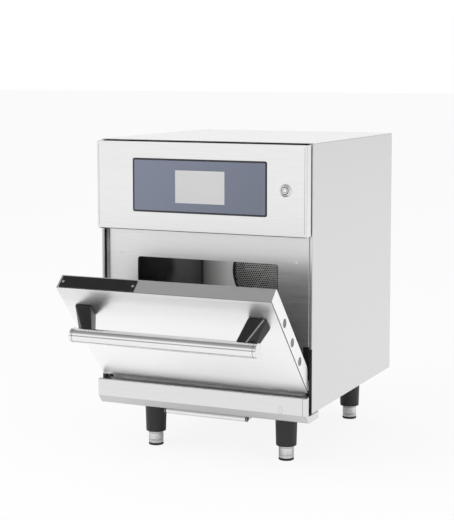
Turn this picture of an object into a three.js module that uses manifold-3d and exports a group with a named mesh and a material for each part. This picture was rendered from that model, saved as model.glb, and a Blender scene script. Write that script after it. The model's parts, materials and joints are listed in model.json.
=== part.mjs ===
// A countertop speed oven: a steel casing on four adjustable legs, a drop-down door on two pin
// hinges, a hot-air and microwave cavity, a touch control fascia, a pull-out crumb tray and a
// pull-out air filter. Millimetres, +Z up, +Y to the back. The origin lies on the worktop, under
// the middle of the whole outline, with the door as far open as it rests.
import * as THREE from "three";
import { mergeVertices } from "three/addons/utils/BufferGeometryUtils.js";
import { ConvexGeometry } from "three/addons/geometries/ConvexGeometry.js";
import Module from "manifold-3d";

// Casing
const shellWidth = 455;
const shellDepth = 480;
const sheet = 1.2;
const gap = 0.3;
const bendRadius = 2.5;
const hemWidth = 5.5;
const panelBend = 1.5;
const topFlange = 10;
const baseFlange = 18;
const baseFrontInset = 3;
const rearFlange = 14;
const overrun = 5;

// Legs
const legHeight = 116;
const legSideMargin = 82.5;
const legFrontY = 75;
const legRearMargin = 29;
const legTopRadius = 22.75;
const legBottomRadius = 20.5;
const legBodyHeight = 86.7;
const studRadius = 6;
const studHeight = 14;
const adjusterRadius = 15;
const adjusterInsert = 42;
const adjusterHeadroom = 3;
const padLip = 0.4;
const padHeight = 3.6;

// Front frame and doorway
const frameRecess = 11.6;
const framePlate = 1.5;
const frameReturn = 18;
const frameSideGap = 5;
const frameTopMargin = 6;
const doorwayTopMargin = 46.7;
const doorwaySideStep = 2;
const doorwaySill = 6;
const doorwayCorner = 6;
const controlWindowSide = 75;
const controlWindowMargin = 30;

// Control fascia
const proud = 24;
const fasciaSideMargin = 2.5;
const fasciaHeight = 173;
const fasciaTopGap = 3;
const fasciaBackGap = 4.5;
const fasciaBend = 4.5;
const fasciaSheet = 1.5;
const glassSideMargin = 82;
const glassHeight = 105;
const glassRise = 88;
const glassThickness = 2;
const glassProud = 0.5;
const glassFit = 0.5;
const displayMargin = 7;
const displayBezel = 3;
const displaySideMargin = 48;
const displayEdgeMargin = 6.5;
const displayBlockDepth = 9;
const boardSideMargin = 25;
const boardEdgeMargin = 0.5;
const boardThickness = 1.6;
const standoffLength = 5;
const standoffRadius = 3.5;
const chipSize = 26;
const chipHeight = 5;

// Power button
const buttonSideMargin = 44;
const buttonRise = 87;
const bezelLip = 1.4;
const bezelThickness = 2;
const bezelRingWall = 2.5;
const bezelRingProud = 4;
const barrelRadius = 10.6;
const barrelLength = 16;
const buttonRadius = 7;
const buttonProud = 4.6;
const buttonDome = 0.8;
const buttonLength = 14;
const buttonTravel = 2;

// Cavity
const cavitySideMargin = 77.5;
const cavityBottom = 100;
const cavityHeight = 208;
const cavityTopStep = 25;
const cavityRearSpace = 165;
const cavityFlange = 14;
const insulationThickness = 26;
const cookPlateSideGap = 8;
const cookPlateFront = 22;
const cookPlateBackGap = 16;
const cookPlateThickness = 9;
const cookPlateCorner = 14;

// Hot-air unit behind the cavity
const fanHeightShare = 0.577;
const grilleRadiusShare = 0.375;
const grilleThickness = 1.5;
const grilleLap = 4;
const grilleHoleRadius = 4.2;
const grilleRim = 15;
const chamberMargin = 2;
const chamberDepth = 60;
const chamberFlange = 8;
const impellerMargin = 18;
const impellerDepth = 30;
const impellerDisc = 1.6;
const impellerFrontGap = 8;
const hubRadius = 12;
const shaftRadius = 4;
const shaftEntry = 24;
const motorRadius = 40;
const motorLength = 62;
const heaterMargin = 7;
const heaterTube = 3.5;
const heaterTerminalX = 14;
const heaterTail = 10;

// Microwave unit
const guideWidth = 82;
const guideHeight = 44;
const guideBackReach = 205;
const guideLength = 190;
const guideSheet = 1.5;
const magnetronInset = 42;
const magnetronWidth = 90;
const magnetronDepth = 76;
const magnetronHeight = 72;
const magnetronCore = 22;
const finThickness = 1.2;
const antennaRadius = 9;
const antennaLength = 30;
const antennaClearance = 1;
const transformerSideMargin = 167.5;
const transformerWidth = 104;
const transformerDepth = 62;
const transformerHeight = 84;
const coilMargin = 12;
const coilProud = 9;
const rearPartMargin = 17;
const capacitorSideMargin = 122.5;
const capacitorWidth = 56;
const capacitorDepth = 36;
const capacitorHeight = 92;
const capacitorCorner = 12;
const terminalSpread = 14;
const terminalSize = 6;
const terminalHeight = 8;

// Cooling fan and rear vents
const coolingSideMargin = 115.5;
const coolingDrop = 82;
const coolingSize = 120;
const coolingDepth = 38;
const coolingWall = 3;
const coolingTipGap = 3;
const coolingHubRadius = 20;
const coolingSpindle = 3;
const strutWidth = 6;
const strutDepth = 3;
const bladeThickness = 1.6;
const slotWidth = 6;
const slotPitch = 14;
const glandSideMargin = 77.5;
const glandZ = 62;
const glandRadius = 12;
const glandThread = 8;
const glandLength = 18;
const glandInside = 12;
const glandBore = 4.5;

// Door, in its closed place
const doorSideMargin = 6;
const doorTopGap = 12.3;
const doorBackGap = 2.1;
const doorHingeDrop = 9.3;
const doorSkin = 1.5;
const doorSeam = 0.5;
const doorWall = 1.5;
const doorChamferRise = 37.4;
const doorToe = 7;
const doorOpenDegrees = 42;
const hingeY = 6;
const hingeZ = 69;
const sideHoleRadius = 8.5;
const sideHoleLow = 77.5;
const sideHoleTop = 78.5;
const chokeSideMargin = 71.5;
const chokeLow = 50;
const chokeTopMargin = 49;
const chokeLap = 6;
const chokeGroove = 9;
const chokeGrooveDepth = 2;
const gasketWidth = 6.5;
const gasketThickness = 1.4;
const gasketMargin = 3;

// Handle
const barRadius = 14.5;
const barEndMargin = 28.5;
const barChamfer = 1.5;
const barWall = 1.8;
const barScrewRadius = 3;
const barDrop = 74;
const barOut = 53;
const bracketSideMargin = 22;
const bracketWidth = 36;
const bracketBelow = 3;
const bracketAbove = 28;
const tipStep = 21;
const tipWidth = 28;
const tipBelow = 12;
const tipAbove = 12.5;
const tipInset = 6;
const bracketRidge = 5;
const doorPlateSideMargin = 4.5;
const doorPlateWidth = 160;
const doorPlateFrontMargin = 0.5;
const doorPlateBackMargin = 4;
const doorPlateThickness = 0.9;
const rivetRadius = 2.6;
const rivetInset = 5.2;
const rivetHeight = 1.1;

// Hinges and door switches
const hingeSideMargin = 18.5;
const hingeCheek = 2.5;
const hingePinRadius = 2.5;
const hingeEyeWall = 2.7;
const hingeNoseMargin = 2.8;
const hingeBackPlate = 1.5;
const hingeBackMargin = 6;
const hingeArm = 6.4;
const hingeFootHalf = 14;
const hingeFootWidth = 22;
const hingeFootThickness = 2;
const switchSideMargin = 27;
const switchRise = 5;
const switchWidth = 18;
const switchHeight = 20;
const switchDepth = 27;
const switchPin = 2;
const switchPinProud = 1.2;

// Crumb tray
const trayTop = 34;
const trayDrop = 17;
const trayRound = 16;
const trayBack = 44;
const trayWallGap = 3.4;
const traySideDepth = 14;
const trayFlange = 13;
const railSheet = 1.2;
const railBend = 1.8;
const railTightBend = 0.6;
const railLegGap = 1.2;
const railNotchMargin = 1.2;
const trayRailWidth = 14;
const trayRailLip = 10;
const trayRailInset = 16;

// Air filter
const filterLegMargin = 59;
const filterFront = 14;
const filterLength = 236;
const filterTrayGap = 3.5;
const filterThickness = 10;
const filterBorder = 9;
const filterPad = 3;
const filterBarRadius = 5.5;
const filterBarOverhang = 4;
const filterBarY = 9.5;
const filterRailFlange = 15;
const filterRailLip = 7;
const intakeSlots = 8;
const intakeSlotWidth = 10;
const intakeMargin = 24;

// Counts of facets and copies
const bendSteps = 3;
const noseSteps = 6;
const roundSides = 32;
const tubeSides = 24;
const smallSides = 12;
const heaterSides = 8;
const holeSides = 6;
const impellerBlades = 8;
const coolingBlades = 7;
const coolingStruts = 4;
const grilleRings = 3;
const finCount = 6;
const exhaustSlots = 8;
const sideHoles = 3;

// The stack over the cavity's floor, from the bottom up, and the casing's height that follows
const cavityTop = cavityBottom + cavityHeight;
const doorwayTop = cavityTop - cavityTopStep;
const doorTop = doorwayTop + doorwayTopMargin;
const fasciaBottom = doorTop + doorTopGap;
const fasciaTop = fasciaBottom + fasciaHeight;
const shellHeight = fasciaTop + fasciaTopGap;

const halfShell = shellWidth / 2;
const sideTop = shellHeight - sheet - gap;
const innerHalf = halfShell - sheet - gap;
const frameBack = frameRecess + framePlate;
const rearInside = shellDepth - sheet - gap;
const floorTop = sheet + gap;
const legX = halfShell - legSideMargin;
const frameHalf = halfShell - hemWidth - frameSideGap;
const fasciaHalf = halfShell - fasciaSideMargin;
const doorHalf = halfShell - doorSideMargin;
const doorBottom = hingeZ - doorHingeDrop;
const doorHeight = doorTop - doorBottom;
const doorThickness = proud + frameRecess - doorBackGap;
const cavityHalf = halfShell - cavitySideMargin;
const cavityBack = shellDepth - cavityRearSpace;

const wasm = await Module();
wasm.setup();

// A closed geometry as a solid that can be joined and cut.
function solid(geometry) {
  geometry.deleteAttribute("normal");
  geometry.deleteAttribute("uv");
  const merged = mergeVertices(geometry);
  return new wasm.Manifold(
    new wasm.Mesh({
      numProp: 3,
      vertProperties: merged.attributes.position.array,
      triVerts: merged.index.array,
    }),
  );
}

function geometryOf(body) {
  const { vertProperties, triVerts } = body.getMesh();
  const geometry = new THREE.BufferGeometry();
  geometry.setAttribute("position", new THREE.BufferAttribute(vertProperties, 3));
  geometry.setIndex(new THREE.BufferAttribute(triVerts, 1));
  geometry.computeVertexNormals();
  return geometry;
}

function join(...bodies) {
  return bodies.reduce((sum, body) => sum.add(body));
}

function cut(body, ...tools) {
  return tools.reduce((rest, tool) => rest.subtract(tool), body);
}

function box([x0, x1], [y0, y1], [z0, z1]) {
  const geometry = new THREE.BoxGeometry(x1 - x0, y1 - y0, z1 - z0);
  return solid(geometry.translate((x0 + x1) / 2, (y0 + y1) / 2, (z0 + z1) / 2));
}

// A round bar along one axis, from one place on it to another, about the centre (u, v) on the
// other two axes in x, y, z order.
function rod(axis, [from, to], [u, v], radius, sides = roundSides, endRadius = radius) {
  const geometry = new THREE.CylinderGeometry(endRadius, radius, to - from, sides);
  const middle = (from + to) / 2;
  if (axis === "x") return solid(geometry.rotateZ(-Math.PI / 2).translate(middle, u, v));
  if (axis === "y") return solid(geometry.translate(u, middle, v));
  return solid(geometry.rotateX(Math.PI / 2).translate(u, v, middle));
}

// An outline of (u, v) points drawn out along one axis: along x the points are (y, z), along y
// they are (x, z) and along z they are (x, y).
function prism(axis, [from, to], outline) {
  const shape = new THREE.Shape(outline.map(([u, v]) => new THREE.Vector2(u, v)));
  const geometry = new THREE.ExtrudeGeometry(shape, { depth: to - from, bevelEnabled: false });
  const [x, y, z] = [0, 1, 2].map((i) => new THREE.Vector3().setComponent(i, 1));
  const turned = new THREE.Matrix4();
  if (axis === "x") turned.makeBasis(y, z, x).setPosition(from, 0, 0);
  else if (axis === "y") turned.makeBasis(x, z, y.clone().negate()).setPosition(0, to, 0);
  else turned.setPosition(0, 0, from);
  return solid(geometry.applyMatrix4(turned));
}

// A profile of [radius, y] points turned about an axis along y through (x, z).
function turned(profile, [x, z], sides = roundSides) {
  const points = profile.map(([radius, y]) => new THREE.Vector2(radius, y));
  return solid(new THREE.LatheGeometry(points, sides).translate(x, 0, z));
}

// The points and left-hand normals of a path whose corners are rounded. A point may carry its own
// corner radius as a third value.
function roundedPath(points, radius) {
  const corner = points.map(([u, v]) => new THREE.Vector2(u, v));
  const runs = corner.slice(1).map((to, i) => to.clone().sub(corner[i]).normalize());
  const normals = runs.map((run) => new THREE.Vector2(-run.y, run.x));
  const path = [{ at: corner[0], normal: normals[0] }];
  for (let i = 1; i < corner.length - 1; i++) {
    const [before, after] = [normals[i - 1], normals[i]];
    const angle = Math.atan2(before.cross(after), before.dot(after));
    const side = Math.sign(angle);
    const bend = points[i][2] ?? radius;
    const start = corner[i].clone().addScaledVector(runs[i - 1], -bend * Math.tan(Math.abs(angle) / 2));
    const centre = start.clone().addScaledVector(before, side * bend);
    for (let step = 0; step <= bendSteps; step++) {
      const normal = before.clone().rotateAround(new THREE.Vector2(), (angle * step) / bendSteps);
      path.push({ at: centre.clone().addScaledVector(normal, -side * bend), normal });
    }
  }
  path.push({ at: corner.at(-1), normal: normals.at(-1) });
  return path;
}

// The outline of a bent sheet: its outer face follows the points and its thickness lies to the
// left of them.
function bentSheet(points, thickness, radius = bendRadius) {
  const path = roundedPath(points, radius);
  const outer = path.map(({ at }) => [at.x, at.y]);
  const inner = path.map(({ at, normal }) => [at.x + normal.x * thickness, at.y + normal.y * thickness]);
  return [...outer, ...inner.reverse()];
}

// A rectangle with rounded corners, as an outline.
function roundedRectangle([u0, u1], [v0, v1], radius) {
  const middle = (u0 + u1) / 2;
  const corners = [[middle, v0], [u1, v0], [u1, v1], [u0, v1], [u0, v0], [middle, v0]];
  return roundedPath(corners, radius).slice(0, -1).map(({ at }) => [at.x, at.y]);
}

// Copies of one shape turned about an axis along y through (x, z).
function spokes(count, [x, z], makeOne) {
  const copies = Array.from({ length: count }, (_, i) =>
    makeOne().rotate([0, (i * 360) / count, 0]).translate([x, 0, z]));
  return join(...copies);
}

const steel = { color: 0xd8d9d9, roughness: 0.34, metalness: 0.9 };
const darkSteel = { color: 0x8f9192, roughness: 0.5, metalness: 0.85 };
const polishedSteel = { color: 0xe4e5e6, roughness: 0.18, metalness: 1 };
const blackPlastic = { color: 0x1c1d1e, roughness: 0.5, metalness: 0 };
const rubber = { color: 0x151515, roughness: 0.85, metalness: 0 };
const glass = { color: 0x7d8496, roughness: 0.12, metalness: 0 };
const board = { color: 0x1f5a38, roughness: 0.6, metalness: 0 };
const copper = { color: 0xa4562f, roughness: 0.45, metalness: 0.8 };
const wool = { color: 0xcbbf9c, roughness: 1, metalness: 0 };
const silicone = { color: 0x55585a, roughness: 0.8, metalness: 0 };

function add(parent, name, body, finish) {
  const mesh = new THREE.Mesh(geometryOf(body), new THREE.MeshStandardMaterial(finish));
  mesh.name = name;
  parent.add(mesh);
  return mesh;
}

// The same piece on the right and, mirrored, on the left.
function addPair(parent, name, body, finish) {
  add(parent, name + "_right", body, finish);
  add(parent, name + "_left", body, finish).scale.x = -1;
}

const legPlaces = [
  ["front_left", -legX, legFrontY],
  ["front_right", legX, legFrontY],
  ["rear_left", -legX, shellDepth - legRearMargin],
  ["rear_right", legX, shellDepth - legRearMargin],
];

function slots(count, pitch, makeSlot) {
  const middle = (count - 1) / 2;
  return Array.from({ length: count }, (_, i) => makeSlot((i - middle) * pitch));
}

const coolingX = halfShell - coolingSideMargin;
const coolingZ = shellHeight - coolingDrop;
const coolingBore = coolingSize / 2 - coolingWall;
const glandX = -halfShell + glandSideMargin;
const filterHalfWidth = legX - filterLegMargin;

function basePlate() {
  const outline = bentSheet([
    [-innerHalf, baseFlange],
    [-innerHalf, 0],
    [innerHalf, 0],
    [innerHalf, baseFlange],
  ], sheet);
  const studHoles = legPlaces.map(([, x, y]) =>
    rod("z", [-overrun, sheet + overrun], [x, y], studRadius + gap, smallSides));
  const intakeFront = filterFront + intakeMargin;
  const intakeBack = filterFront + filterLength - intakeMargin;
  const intakePitch = (intakeBack - intakeFront) / intakeSlots;
  const intake = slots(intakeSlots, intakePitch, (place) => {
    const y = (intakeFront + intakeBack) / 2 + place;
    return box([-filterHalfWidth + intakeMargin, filterHalfWidth - intakeMargin],
      [y - intakeSlotWidth / 2, y + intakeSlotWidth / 2], [-overrun, sheet + overrun]);
  });
  const flanged = prism("y", [baseFrontInset, shellDepth - rearFlange - gap], outline);
  const tail = box([-innerHalf + bendRadius, innerHalf - bendRadius],
    [shellDepth - rearFlange - overrun, rearInside], [0, sheet]);
  return cut(join(flanged, tail), ...studHoles, ...intake);
}

function sidePanel() {
  const outline = bentSheet([
    [halfShell - hemWidth, 0],
    [halfShell, 0],
    [halfShell, shellDepth],
  ], sheet, panelBend);
  const flange = box([halfShell - topFlange, halfShell - sheet / 2], [bendRadius, shellDepth],
    [sideTop - sheet, sideTop]);
  return join(prism("z", [0, sideTop], outline), flange);
}

function topCover() {
  return box([-halfShell, halfShell], [0, shellDepth], [shellHeight - sheet, shellHeight]);
}

function rearPanel() {
  const outline = bentSheet([
    [innerHalf, shellDepth - rearFlange],
    [innerHalf, shellDepth],
    [-innerHalf, shellDepth],
    [-innerHalf, shellDepth - rearFlange],
  ], sheet);
  const through = [shellDepth - rearFlange, shellDepth + overrun];
  const exhaust = slots(exhaustSlots, slotPitch, (place) => {
    const half = Math.sqrt(Math.max(coolingBore ** 2 - place ** 2, slotWidth ** 2));
    return box([coolingX - half, coolingX + half], through,
      [coolingZ + place - slotWidth / 2, coolingZ + place + slotWidth / 2]);
  });
  const upper = slots(exhaustSlots, slotPitch, (place) =>
    box([-coolingX + place - slotWidth / 2, -coolingX + place + slotWidth / 2], through,
      [coolingZ - coolingBore / 2, coolingZ + coolingBore / 2]));
  const entry = rod("y", through, [glandX, glandZ], glandThread + gap, smallSides);
  const top = sideTop - sheet - gap;
  return cut(prism("z", [floorTop, top], outline), ...exhaust, ...upper, entry);
}

const switchX = frameHalf - switchSideMargin;
const switchZ = doorwayTop + switchRise;

function frontFrame() {
  const back = frameRecess + frameReturn;
  const outline = bentSheet([
    [-frameHalf, back],
    [-frameHalf, frameRecess],
    [frameHalf, frameRecess],
    [frameHalf, back],
  ], framePlate);
  const through = [frameRecess - overrun, frameBack + overrun];
  const doorwayHalf = cavityHalf + doorwaySideStep;
  const doorway = prism("y", through, roundedRectangle([-doorwayHalf, doorwayHalf],
    [cavityBottom + doorwaySill, doorwayTop], doorwayCorner));
  const top = sideTop - frameTopMargin;
  const controlWindow = box(grown([-fasciaHalf, fasciaHalf], -controlWindowSide), through,
    [fasciaBottom + controlWindowMargin, top - controlWindowMargin]);
  const pins = [-switchX, switchX].map((x) =>
    rod("y", through, [x, switchZ], switchPin + gap, smallSides));
  return cut(prism("z", [floorTop, top], outline), doorway, controlWindow, ...pins);
}

const glassHalf = fasciaHalf - glassSideMargin;
const glassZ = fasciaBottom + glassRise;
const buttonX = fasciaHalf - buttonSideMargin;
const buttonZ = fasciaBottom + buttonRise;

function controlPanel() {
  const outline = bentSheet([
    [-fasciaHalf, -fasciaBackGap],
    [-fasciaHalf, -proud],
    [fasciaHalf, -proud],
    [fasciaHalf, -fasciaBackGap],
  ], fasciaSheet, fasciaBend);
  const across = grown([-fasciaHalf, fasciaHalf], -fasciaBend);
  const deep = [-proud, frameRecess - gap];
  const bottom = box(across, deep, [fasciaBottom, fasciaBottom + fasciaSheet]);
  const top = box(across, deep, [fasciaTop - fasciaSheet, fasciaTop]);
  const through = [-proud - overrun, -proud + fasciaSheet + overrun];
  const glassHole = box(grown([-glassHalf, glassHalf], glassFit), through,
    around(glassZ, glassHeight + glassFit * 2));
  const buttonHole = rod("y", through, [buttonX, buttonZ], barrelRadius + gap);
  return cut(join(prism("z", [fasciaBottom, fasciaTop], outline), bottom, top), glassHole, buttonHole);
}

const glassFront = -proud - glassProud;
const displayFront = Math.max(glassFront + glassThickness, -proud + fasciaSheet) + gap;
const displayBack = displayFront + displayBezel + displayBlockDepth;

function touchGlass() {
  return prism("y", [glassFront, glassFront + glassThickness],
    roundedRectangle([-glassHalf, glassHalf], around(glassZ, glassHeight), bendRadius));
}

const blockHalf = glassHalf - displaySideMargin;
const blockHalfHeight = glassHeight / 2 - displayEdgeMargin;

function displayModule() {
  const bezel = box(grown([-glassHalf, glassHalf], displayMargin),
    [displayFront, displayFront + displayBezel],
    around(glassZ, glassHeight + displayMargin * 2));
  const block = box([-blockHalf, blockHalf], [displayFront + displayBezel / 2, displayBack],
    around(glassZ, blockHalfHeight * 2));
  return join(bezel, block);
}

function controlBoard() {
  const front = displayBack + gap + standoffLength;
  const plate = box(grown([-glassHalf, glassHalf], -boardSideMargin), [front, front + boardThickness],
    around(glassZ, glassHeight - boardEdgeMargin * 2));
  const acrossHalf = blockHalf - standoffRadius * 2;
  const upHalf = blockHalfHeight - standoffRadius * 2;
  const standoffs = [[-1, -1], [1, -1], [-1, 1], [1, 1]].map(([i, j]) =>
    rod("y", [displayBack + gap, front + boardThickness / 2],
      [i * acrossHalf, glassZ + j * upHalf], standoffRadius, smallSides));
  const chips = [-1, 0, 1].map((i) => box(
    around(i * chipSize * 2, chipSize),
    [front + boardThickness / 2, front + boardThickness + chipHeight],
    around(glassZ, chipSize)));
  return join(plate, ...standoffs, ...chips);
}

function buttonBezel() {
  const back = -proud + barrelLength;
  const bore = buttonRadius + gap;
  const floor = -proud - buttonProud + buttonLength + buttonTravel + gap;
  const ringRadius = buttonRadius + bezelRingWall;
  const bezelRadius = barrelRadius + bezelLip;
  return turned([
    [0, floor],
    [bore, floor],
    [bore, -proud - bezelRingProud],
    [ringRadius, -proud - bezelRingProud],
    [ringRadius, -proud - gap - bezelThickness],
    [bezelRadius, -proud - gap - bezelThickness / 2],
    [bezelRadius, -proud - gap],
    [barrelRadius, -proud - gap],
    [barrelRadius, Math.max(back, floor + bezelThickness)],
    [0, Math.max(back, floor + bezelThickness)],
  ], [buttonX, buttonZ]);
}

function powerButton() {
  const front = -proud - buttonProud;
  return turned([
    [0, front],
    [buttonRadius - buttonDome, front],
    [buttonRadius, front + buttonDome],
    [buttonRadius, front + buttonLength],
    [0, front + buttonLength],
  ], [buttonX, buttonZ]);
}

const cavityFront = frameBack + gap;
const cavityRear = cavityBack + sheet;
const guideX = [-guideWidth / 2, guideWidth / 2];
const guideFront = cavityBack - guideBackReach;
const stubY = [guideFront, guideFront + guideHeight];
const fanZ = cavityBottom + cavityHeight * fanHeightShare;
const grilleRadius = cavityHeight * grilleRadiusShare;

// The same margin added at both ends of a range.
function grown([from, to], margin) {
  return [from - margin, to + margin];
}

// A range of one width about its middle.
function around(middle, width) {
  return [middle - width / 2, middle + width / 2];
}

function cavityBox() {
  const x = [-cavityHalf, cavityHalf];
  const z = [cavityBottom, cavityTop];
  const outer = box(grown(x, sheet), [cavityFront, cavityRear], grown(z, sheet));
  const flange = box(grown(x, cavityFlange), [cavityFront, cavityFront + sheet], grown(z, cavityFlange));
  const inside = box(x, [cavityFront - overrun, cavityBack], z);
  const port = box(grown(guideX, -guideSheet), grown(stubY, -guideSheet),
    [cavityTop - overrun, cavityTop + overrun]);
  const airHole = rod("y", [cavityBack - overrun, cavityRear + overrun], [0, fanZ],
    grilleRadius - grilleLap);
  return cut(join(outer, flange), inside, port, airHole);
}

function fanGrille() {
  const back = cavityBack - gap;
  const disc = rod("y", [back - grilleThickness, back], [0, fanZ], grilleRadius);
  const through = [back - grilleThickness - overrun, back + overrun];
  const holes = [rod("y", through, [0, fanZ], grilleHoleRadius, holeSides)];
  const pitch = (grilleRadius - grilleRim) / grilleRings;
  for (let ring = 1; ring <= grilleRings; ring++) {
    const count = ring * 6;
    for (let i = 0; i < count; i++) {
      const angle = (i * 2 * Math.PI) / count;
      const place = [ring * pitch * Math.cos(angle), fanZ + ring * pitch * Math.sin(angle)];
      holes.push(rod("y", through, place, grilleHoleRadius, holeSides));
    }
  }
  return cut(disc, ...holes);
}

function cookPlate() {
  return prism("z", [cavityBottom + gap, cavityBottom + gap + cookPlateThickness],
    roundedRectangle(grown([-cavityHalf, cavityHalf], -cookPlateSideGap),
      [cookPlateFront, cavityBack - cookPlateBackGap], cookPlateCorner));
}

function insulationWrap() {
  const x = grown([-cavityHalf, cavityHalf], sheet + gap);
  const z = grown([cavityBottom, cavityTop], sheet + gap);
  const y = [cavityFront + sheet + gap, cavityRear];
  const port = box(grown(guideX, gap), grown(stubY, gap),
    [cavityTop, cavityTop + sheet + gap + insulationThickness + overrun]);
  return cut(box(grown(x, insulationThickness), y, grown(z, insulationThickness)),
    box(x, grown(y, overrun), z), port);
}

const chamberFront = cavityRear + gap;
const chamberRear = chamberFront + chamberDepth;
const impellerFront = chamberFront + impellerFrontGap;
const impellerBack = impellerFront + impellerDepth;
const impellerRadius = grilleRadius - impellerMargin;
const chamberHalf = grilleRadius + chamberMargin;
const heaterRadius = grilleRadius - heaterMargin;
const heaterY = (impellerFront + impellerBack) / 2;
const heaterTerminalZ = fanZ + Math.sqrt(heaterRadius ** 2 - heaterTerminalX ** 2);

function airChamber() {
  const x = [-chamberHalf, chamberHalf];
  const z = [fanZ - chamberHalf, fanZ + chamberHalf];
  const outer = box(grown(x, sheet), [chamberFront, chamberRear], grown(z, sheet));
  const flange = box(grown(x, chamberFlange), [chamberFront, chamberFront + sheet], grown(z, chamberFlange));
  const inside = box(x, [chamberFront - overrun, chamberRear - sheet], z);
  const through = [chamberRear - sheet - overrun, chamberRear + overrun];
  const shaftHole = rod("y", through, [0, fanZ], shaftRadius + sheet);
  const terminals = [-heaterTerminalX, heaterTerminalX].map((side) =>
    rod("y", through, [side, heaterTerminalZ], heaterTube + gap, smallSides));
  return cut(join(outer, flange), inside, shaftHole, ...terminals);
}

function circulationFan() {
  const centre = [0, fanZ];
  const shaftEnd = chamberRear + shaftEntry;
  const blades = spokes(impellerBlades, centre, () =>
    box([hubRadius / 2, impellerRadius], [impellerFront, impellerBack + impellerDisc / 2],
      [-impellerDisc / 2, impellerDisc / 2]));
  return join(
    rod("y", [impellerBack, impellerBack + impellerDisc], centre, impellerRadius),
    rod("y", [impellerFront, impellerBack + impellerDisc * 2], centre, hubRadius),
    rod("y", [impellerBack, shaftEnd], centre, shaftRadius),
    blades);
}

function fanMotor() {
  const front = chamberRear + gap;
  const body = rod("y", [front, front + motorLength], [0, fanZ], motorRadius);
  const bore = rod("y", [front - overrun, front + shaftEntry + gap], [0, fanZ], shaftRadius + gap);
  return cut(body, bore);
}

function airHeater() {
  const ring = new THREE.TorusGeometry(heaterRadius, heaterTube, heaterSides, roundSides);
  const tails = [-heaterTerminalX, heaterTerminalX].map((x) =>
    rod("y", [heaterY, chamberRear + heaterTail], [x, heaterTerminalZ], heaterTube, smallSides));
  return join(solid(ring.rotateX(Math.PI / 2).translate(0, heaterY, fanZ)), ...tails);
}

const guideBottom = cavityTop + sheet + gap;
const insulationTop = guideBottom + insulationThickness;
const guideZ = [insulationTop + gap, insulationTop + guideHeight];
const magnetronY = guideFront + guideLength - magnetronInset;
const magnetronBottom = guideZ[1] + gap;

function waveguide() {
  const y = [guideFront, guideFront + guideLength];
  const outer = join(box(guideX, y, guideZ), box(guideX, stubY, [guideBottom, guideZ[1]]));
  const across = grown(guideX, -guideSheet);
  const inside = join(
    box(across, grown(y, -guideSheet), grown(guideZ, -guideSheet)),
    box(across, grown(stubY, -guideSheet), [guideBottom - overrun, guideZ[1] - guideSheet]));
  const port = rod("z", [guideZ[1] - overrun, guideZ[1] + overrun], [0, magnetronY],
    antennaRadius + antennaClearance, tubeSides);
  return cut(outer, inside, port);
}

function magnetron() {
  const x = [-magnetronWidth / 2, magnetronWidth / 2];
  const y = [magnetronY - magnetronDepth / 2, magnetronY + magnetronDepth / 2];
  const finPitch = magnetronHeight / (finCount + 1);
  const plates = Array.from({ length: finCount + 2 }, (_, i) => {
    const z = magnetronBottom + Math.min(i * finPitch, magnetronHeight - finThickness);
    return box(x, y, [z, z + finThickness]);
  });
  const core = rod("z", [magnetronBottom, magnetronBottom + magnetronHeight], [0, magnetronY],
    magnetronCore);
  const antenna = rod("z", [magnetronBottom - antennaLength, magnetronBottom + finThickness],
    [0, magnetronY], antennaRadius, tubeSides);
  return join(core, antenna, ...plates);
}

// A laminated core with one winding proud of it at the front and the back.
function powerTransformer() {
  const x = around(-halfShell + transformerSideMargin, transformerWidth);
  const back = rearInside - rearPartMargin;
  const y = [back - transformerDepth, back];
  const z = [floorTop, floorTop + transformerHeight];
  const coil = box(grown(x, -coilMargin * 2), grown(y, coilProud), grown(z, -coilMargin));
  return join(box(x, y, z), coil);
}

function capacitor() {
  const centre = halfShell - capacitorSideMargin;
  const x = around(centre, capacitorWidth);
  const back = rearInside - rearPartMargin;
  const can = prism("z", [floorTop, floorTop + capacitorHeight],
    roundedRectangle(x, [back - capacitorDepth, back], capacitorCorner));
  const middle = back - capacitorDepth / 2;
  const tabs = [-terminalSpread, terminalSpread].map((place) => box(
    around(centre + place, terminalSize),
    around(middle, terminalSize),
    [floorTop + capacitorHeight / 2, floorTop + capacitorHeight + terminalHeight]));
  return join(can, ...tabs);
}

const coolingFront = rearInside - coolingDepth;
const rotorFront = coolingFront + strutDepth + gap;

function coolingFanFrame() {
  const centre = [coolingX, coolingZ];
  const y = [coolingFront, rearInside];
  const block = box(around(coolingX, coolingSize), y, around(coolingZ, coolingSize));
  const bore = rod("y", grown(y, overrun), centre, coolingBore);
  const strutY = [coolingFront, coolingFront + strutDepth];
  const struts = spokes(coolingStruts, centre, () =>
    box([0, coolingBore + overrun], strutY, [-strutWidth / 2, strutWidth / 2]));
  const disc = rod("y", strutY, centre, coolingHubRadius);
  const bearing = rod("y", grown(strutY, overrun), centre, coolingSpindle + gap, smallSides);
  return cut(join(cut(block, bore), struts, disc), bearing);
}

function coolingFanRotor() {
  const centre = [coolingX, coolingZ];
  const y = [rotorFront, rearInside - strutDepth];
  const blades = spokes(coolingBlades, centre, () =>
    box([coolingHubRadius / 2, coolingBore - coolingTipGap], grown(y, -bladeThickness),
      [-bladeThickness / 2, bladeThickness / 2]));
  return join(
    rod("y", y, centre, coolingHubRadius),
    rod("y", [coolingFront, y[1]], centre, coolingSpindle, smallSides),
    blades);
}

function cableGland() {
  const outside = shellDepth + gap;
  return turned([
    [0, shellDepth - sheet - glandInside],
    [glandThread, shellDepth - sheet - glandInside],
    [glandThread, outside],
    [glandRadius, outside],
    [glandRadius, outside + glandLength / 2],
    [glandThread, outside + glandLength],
    [glandBore, outside + glandLength],
    [glandBore, outside],
    [0, outside],
  ], [glandX, glandZ], tubeSides);
}

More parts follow.
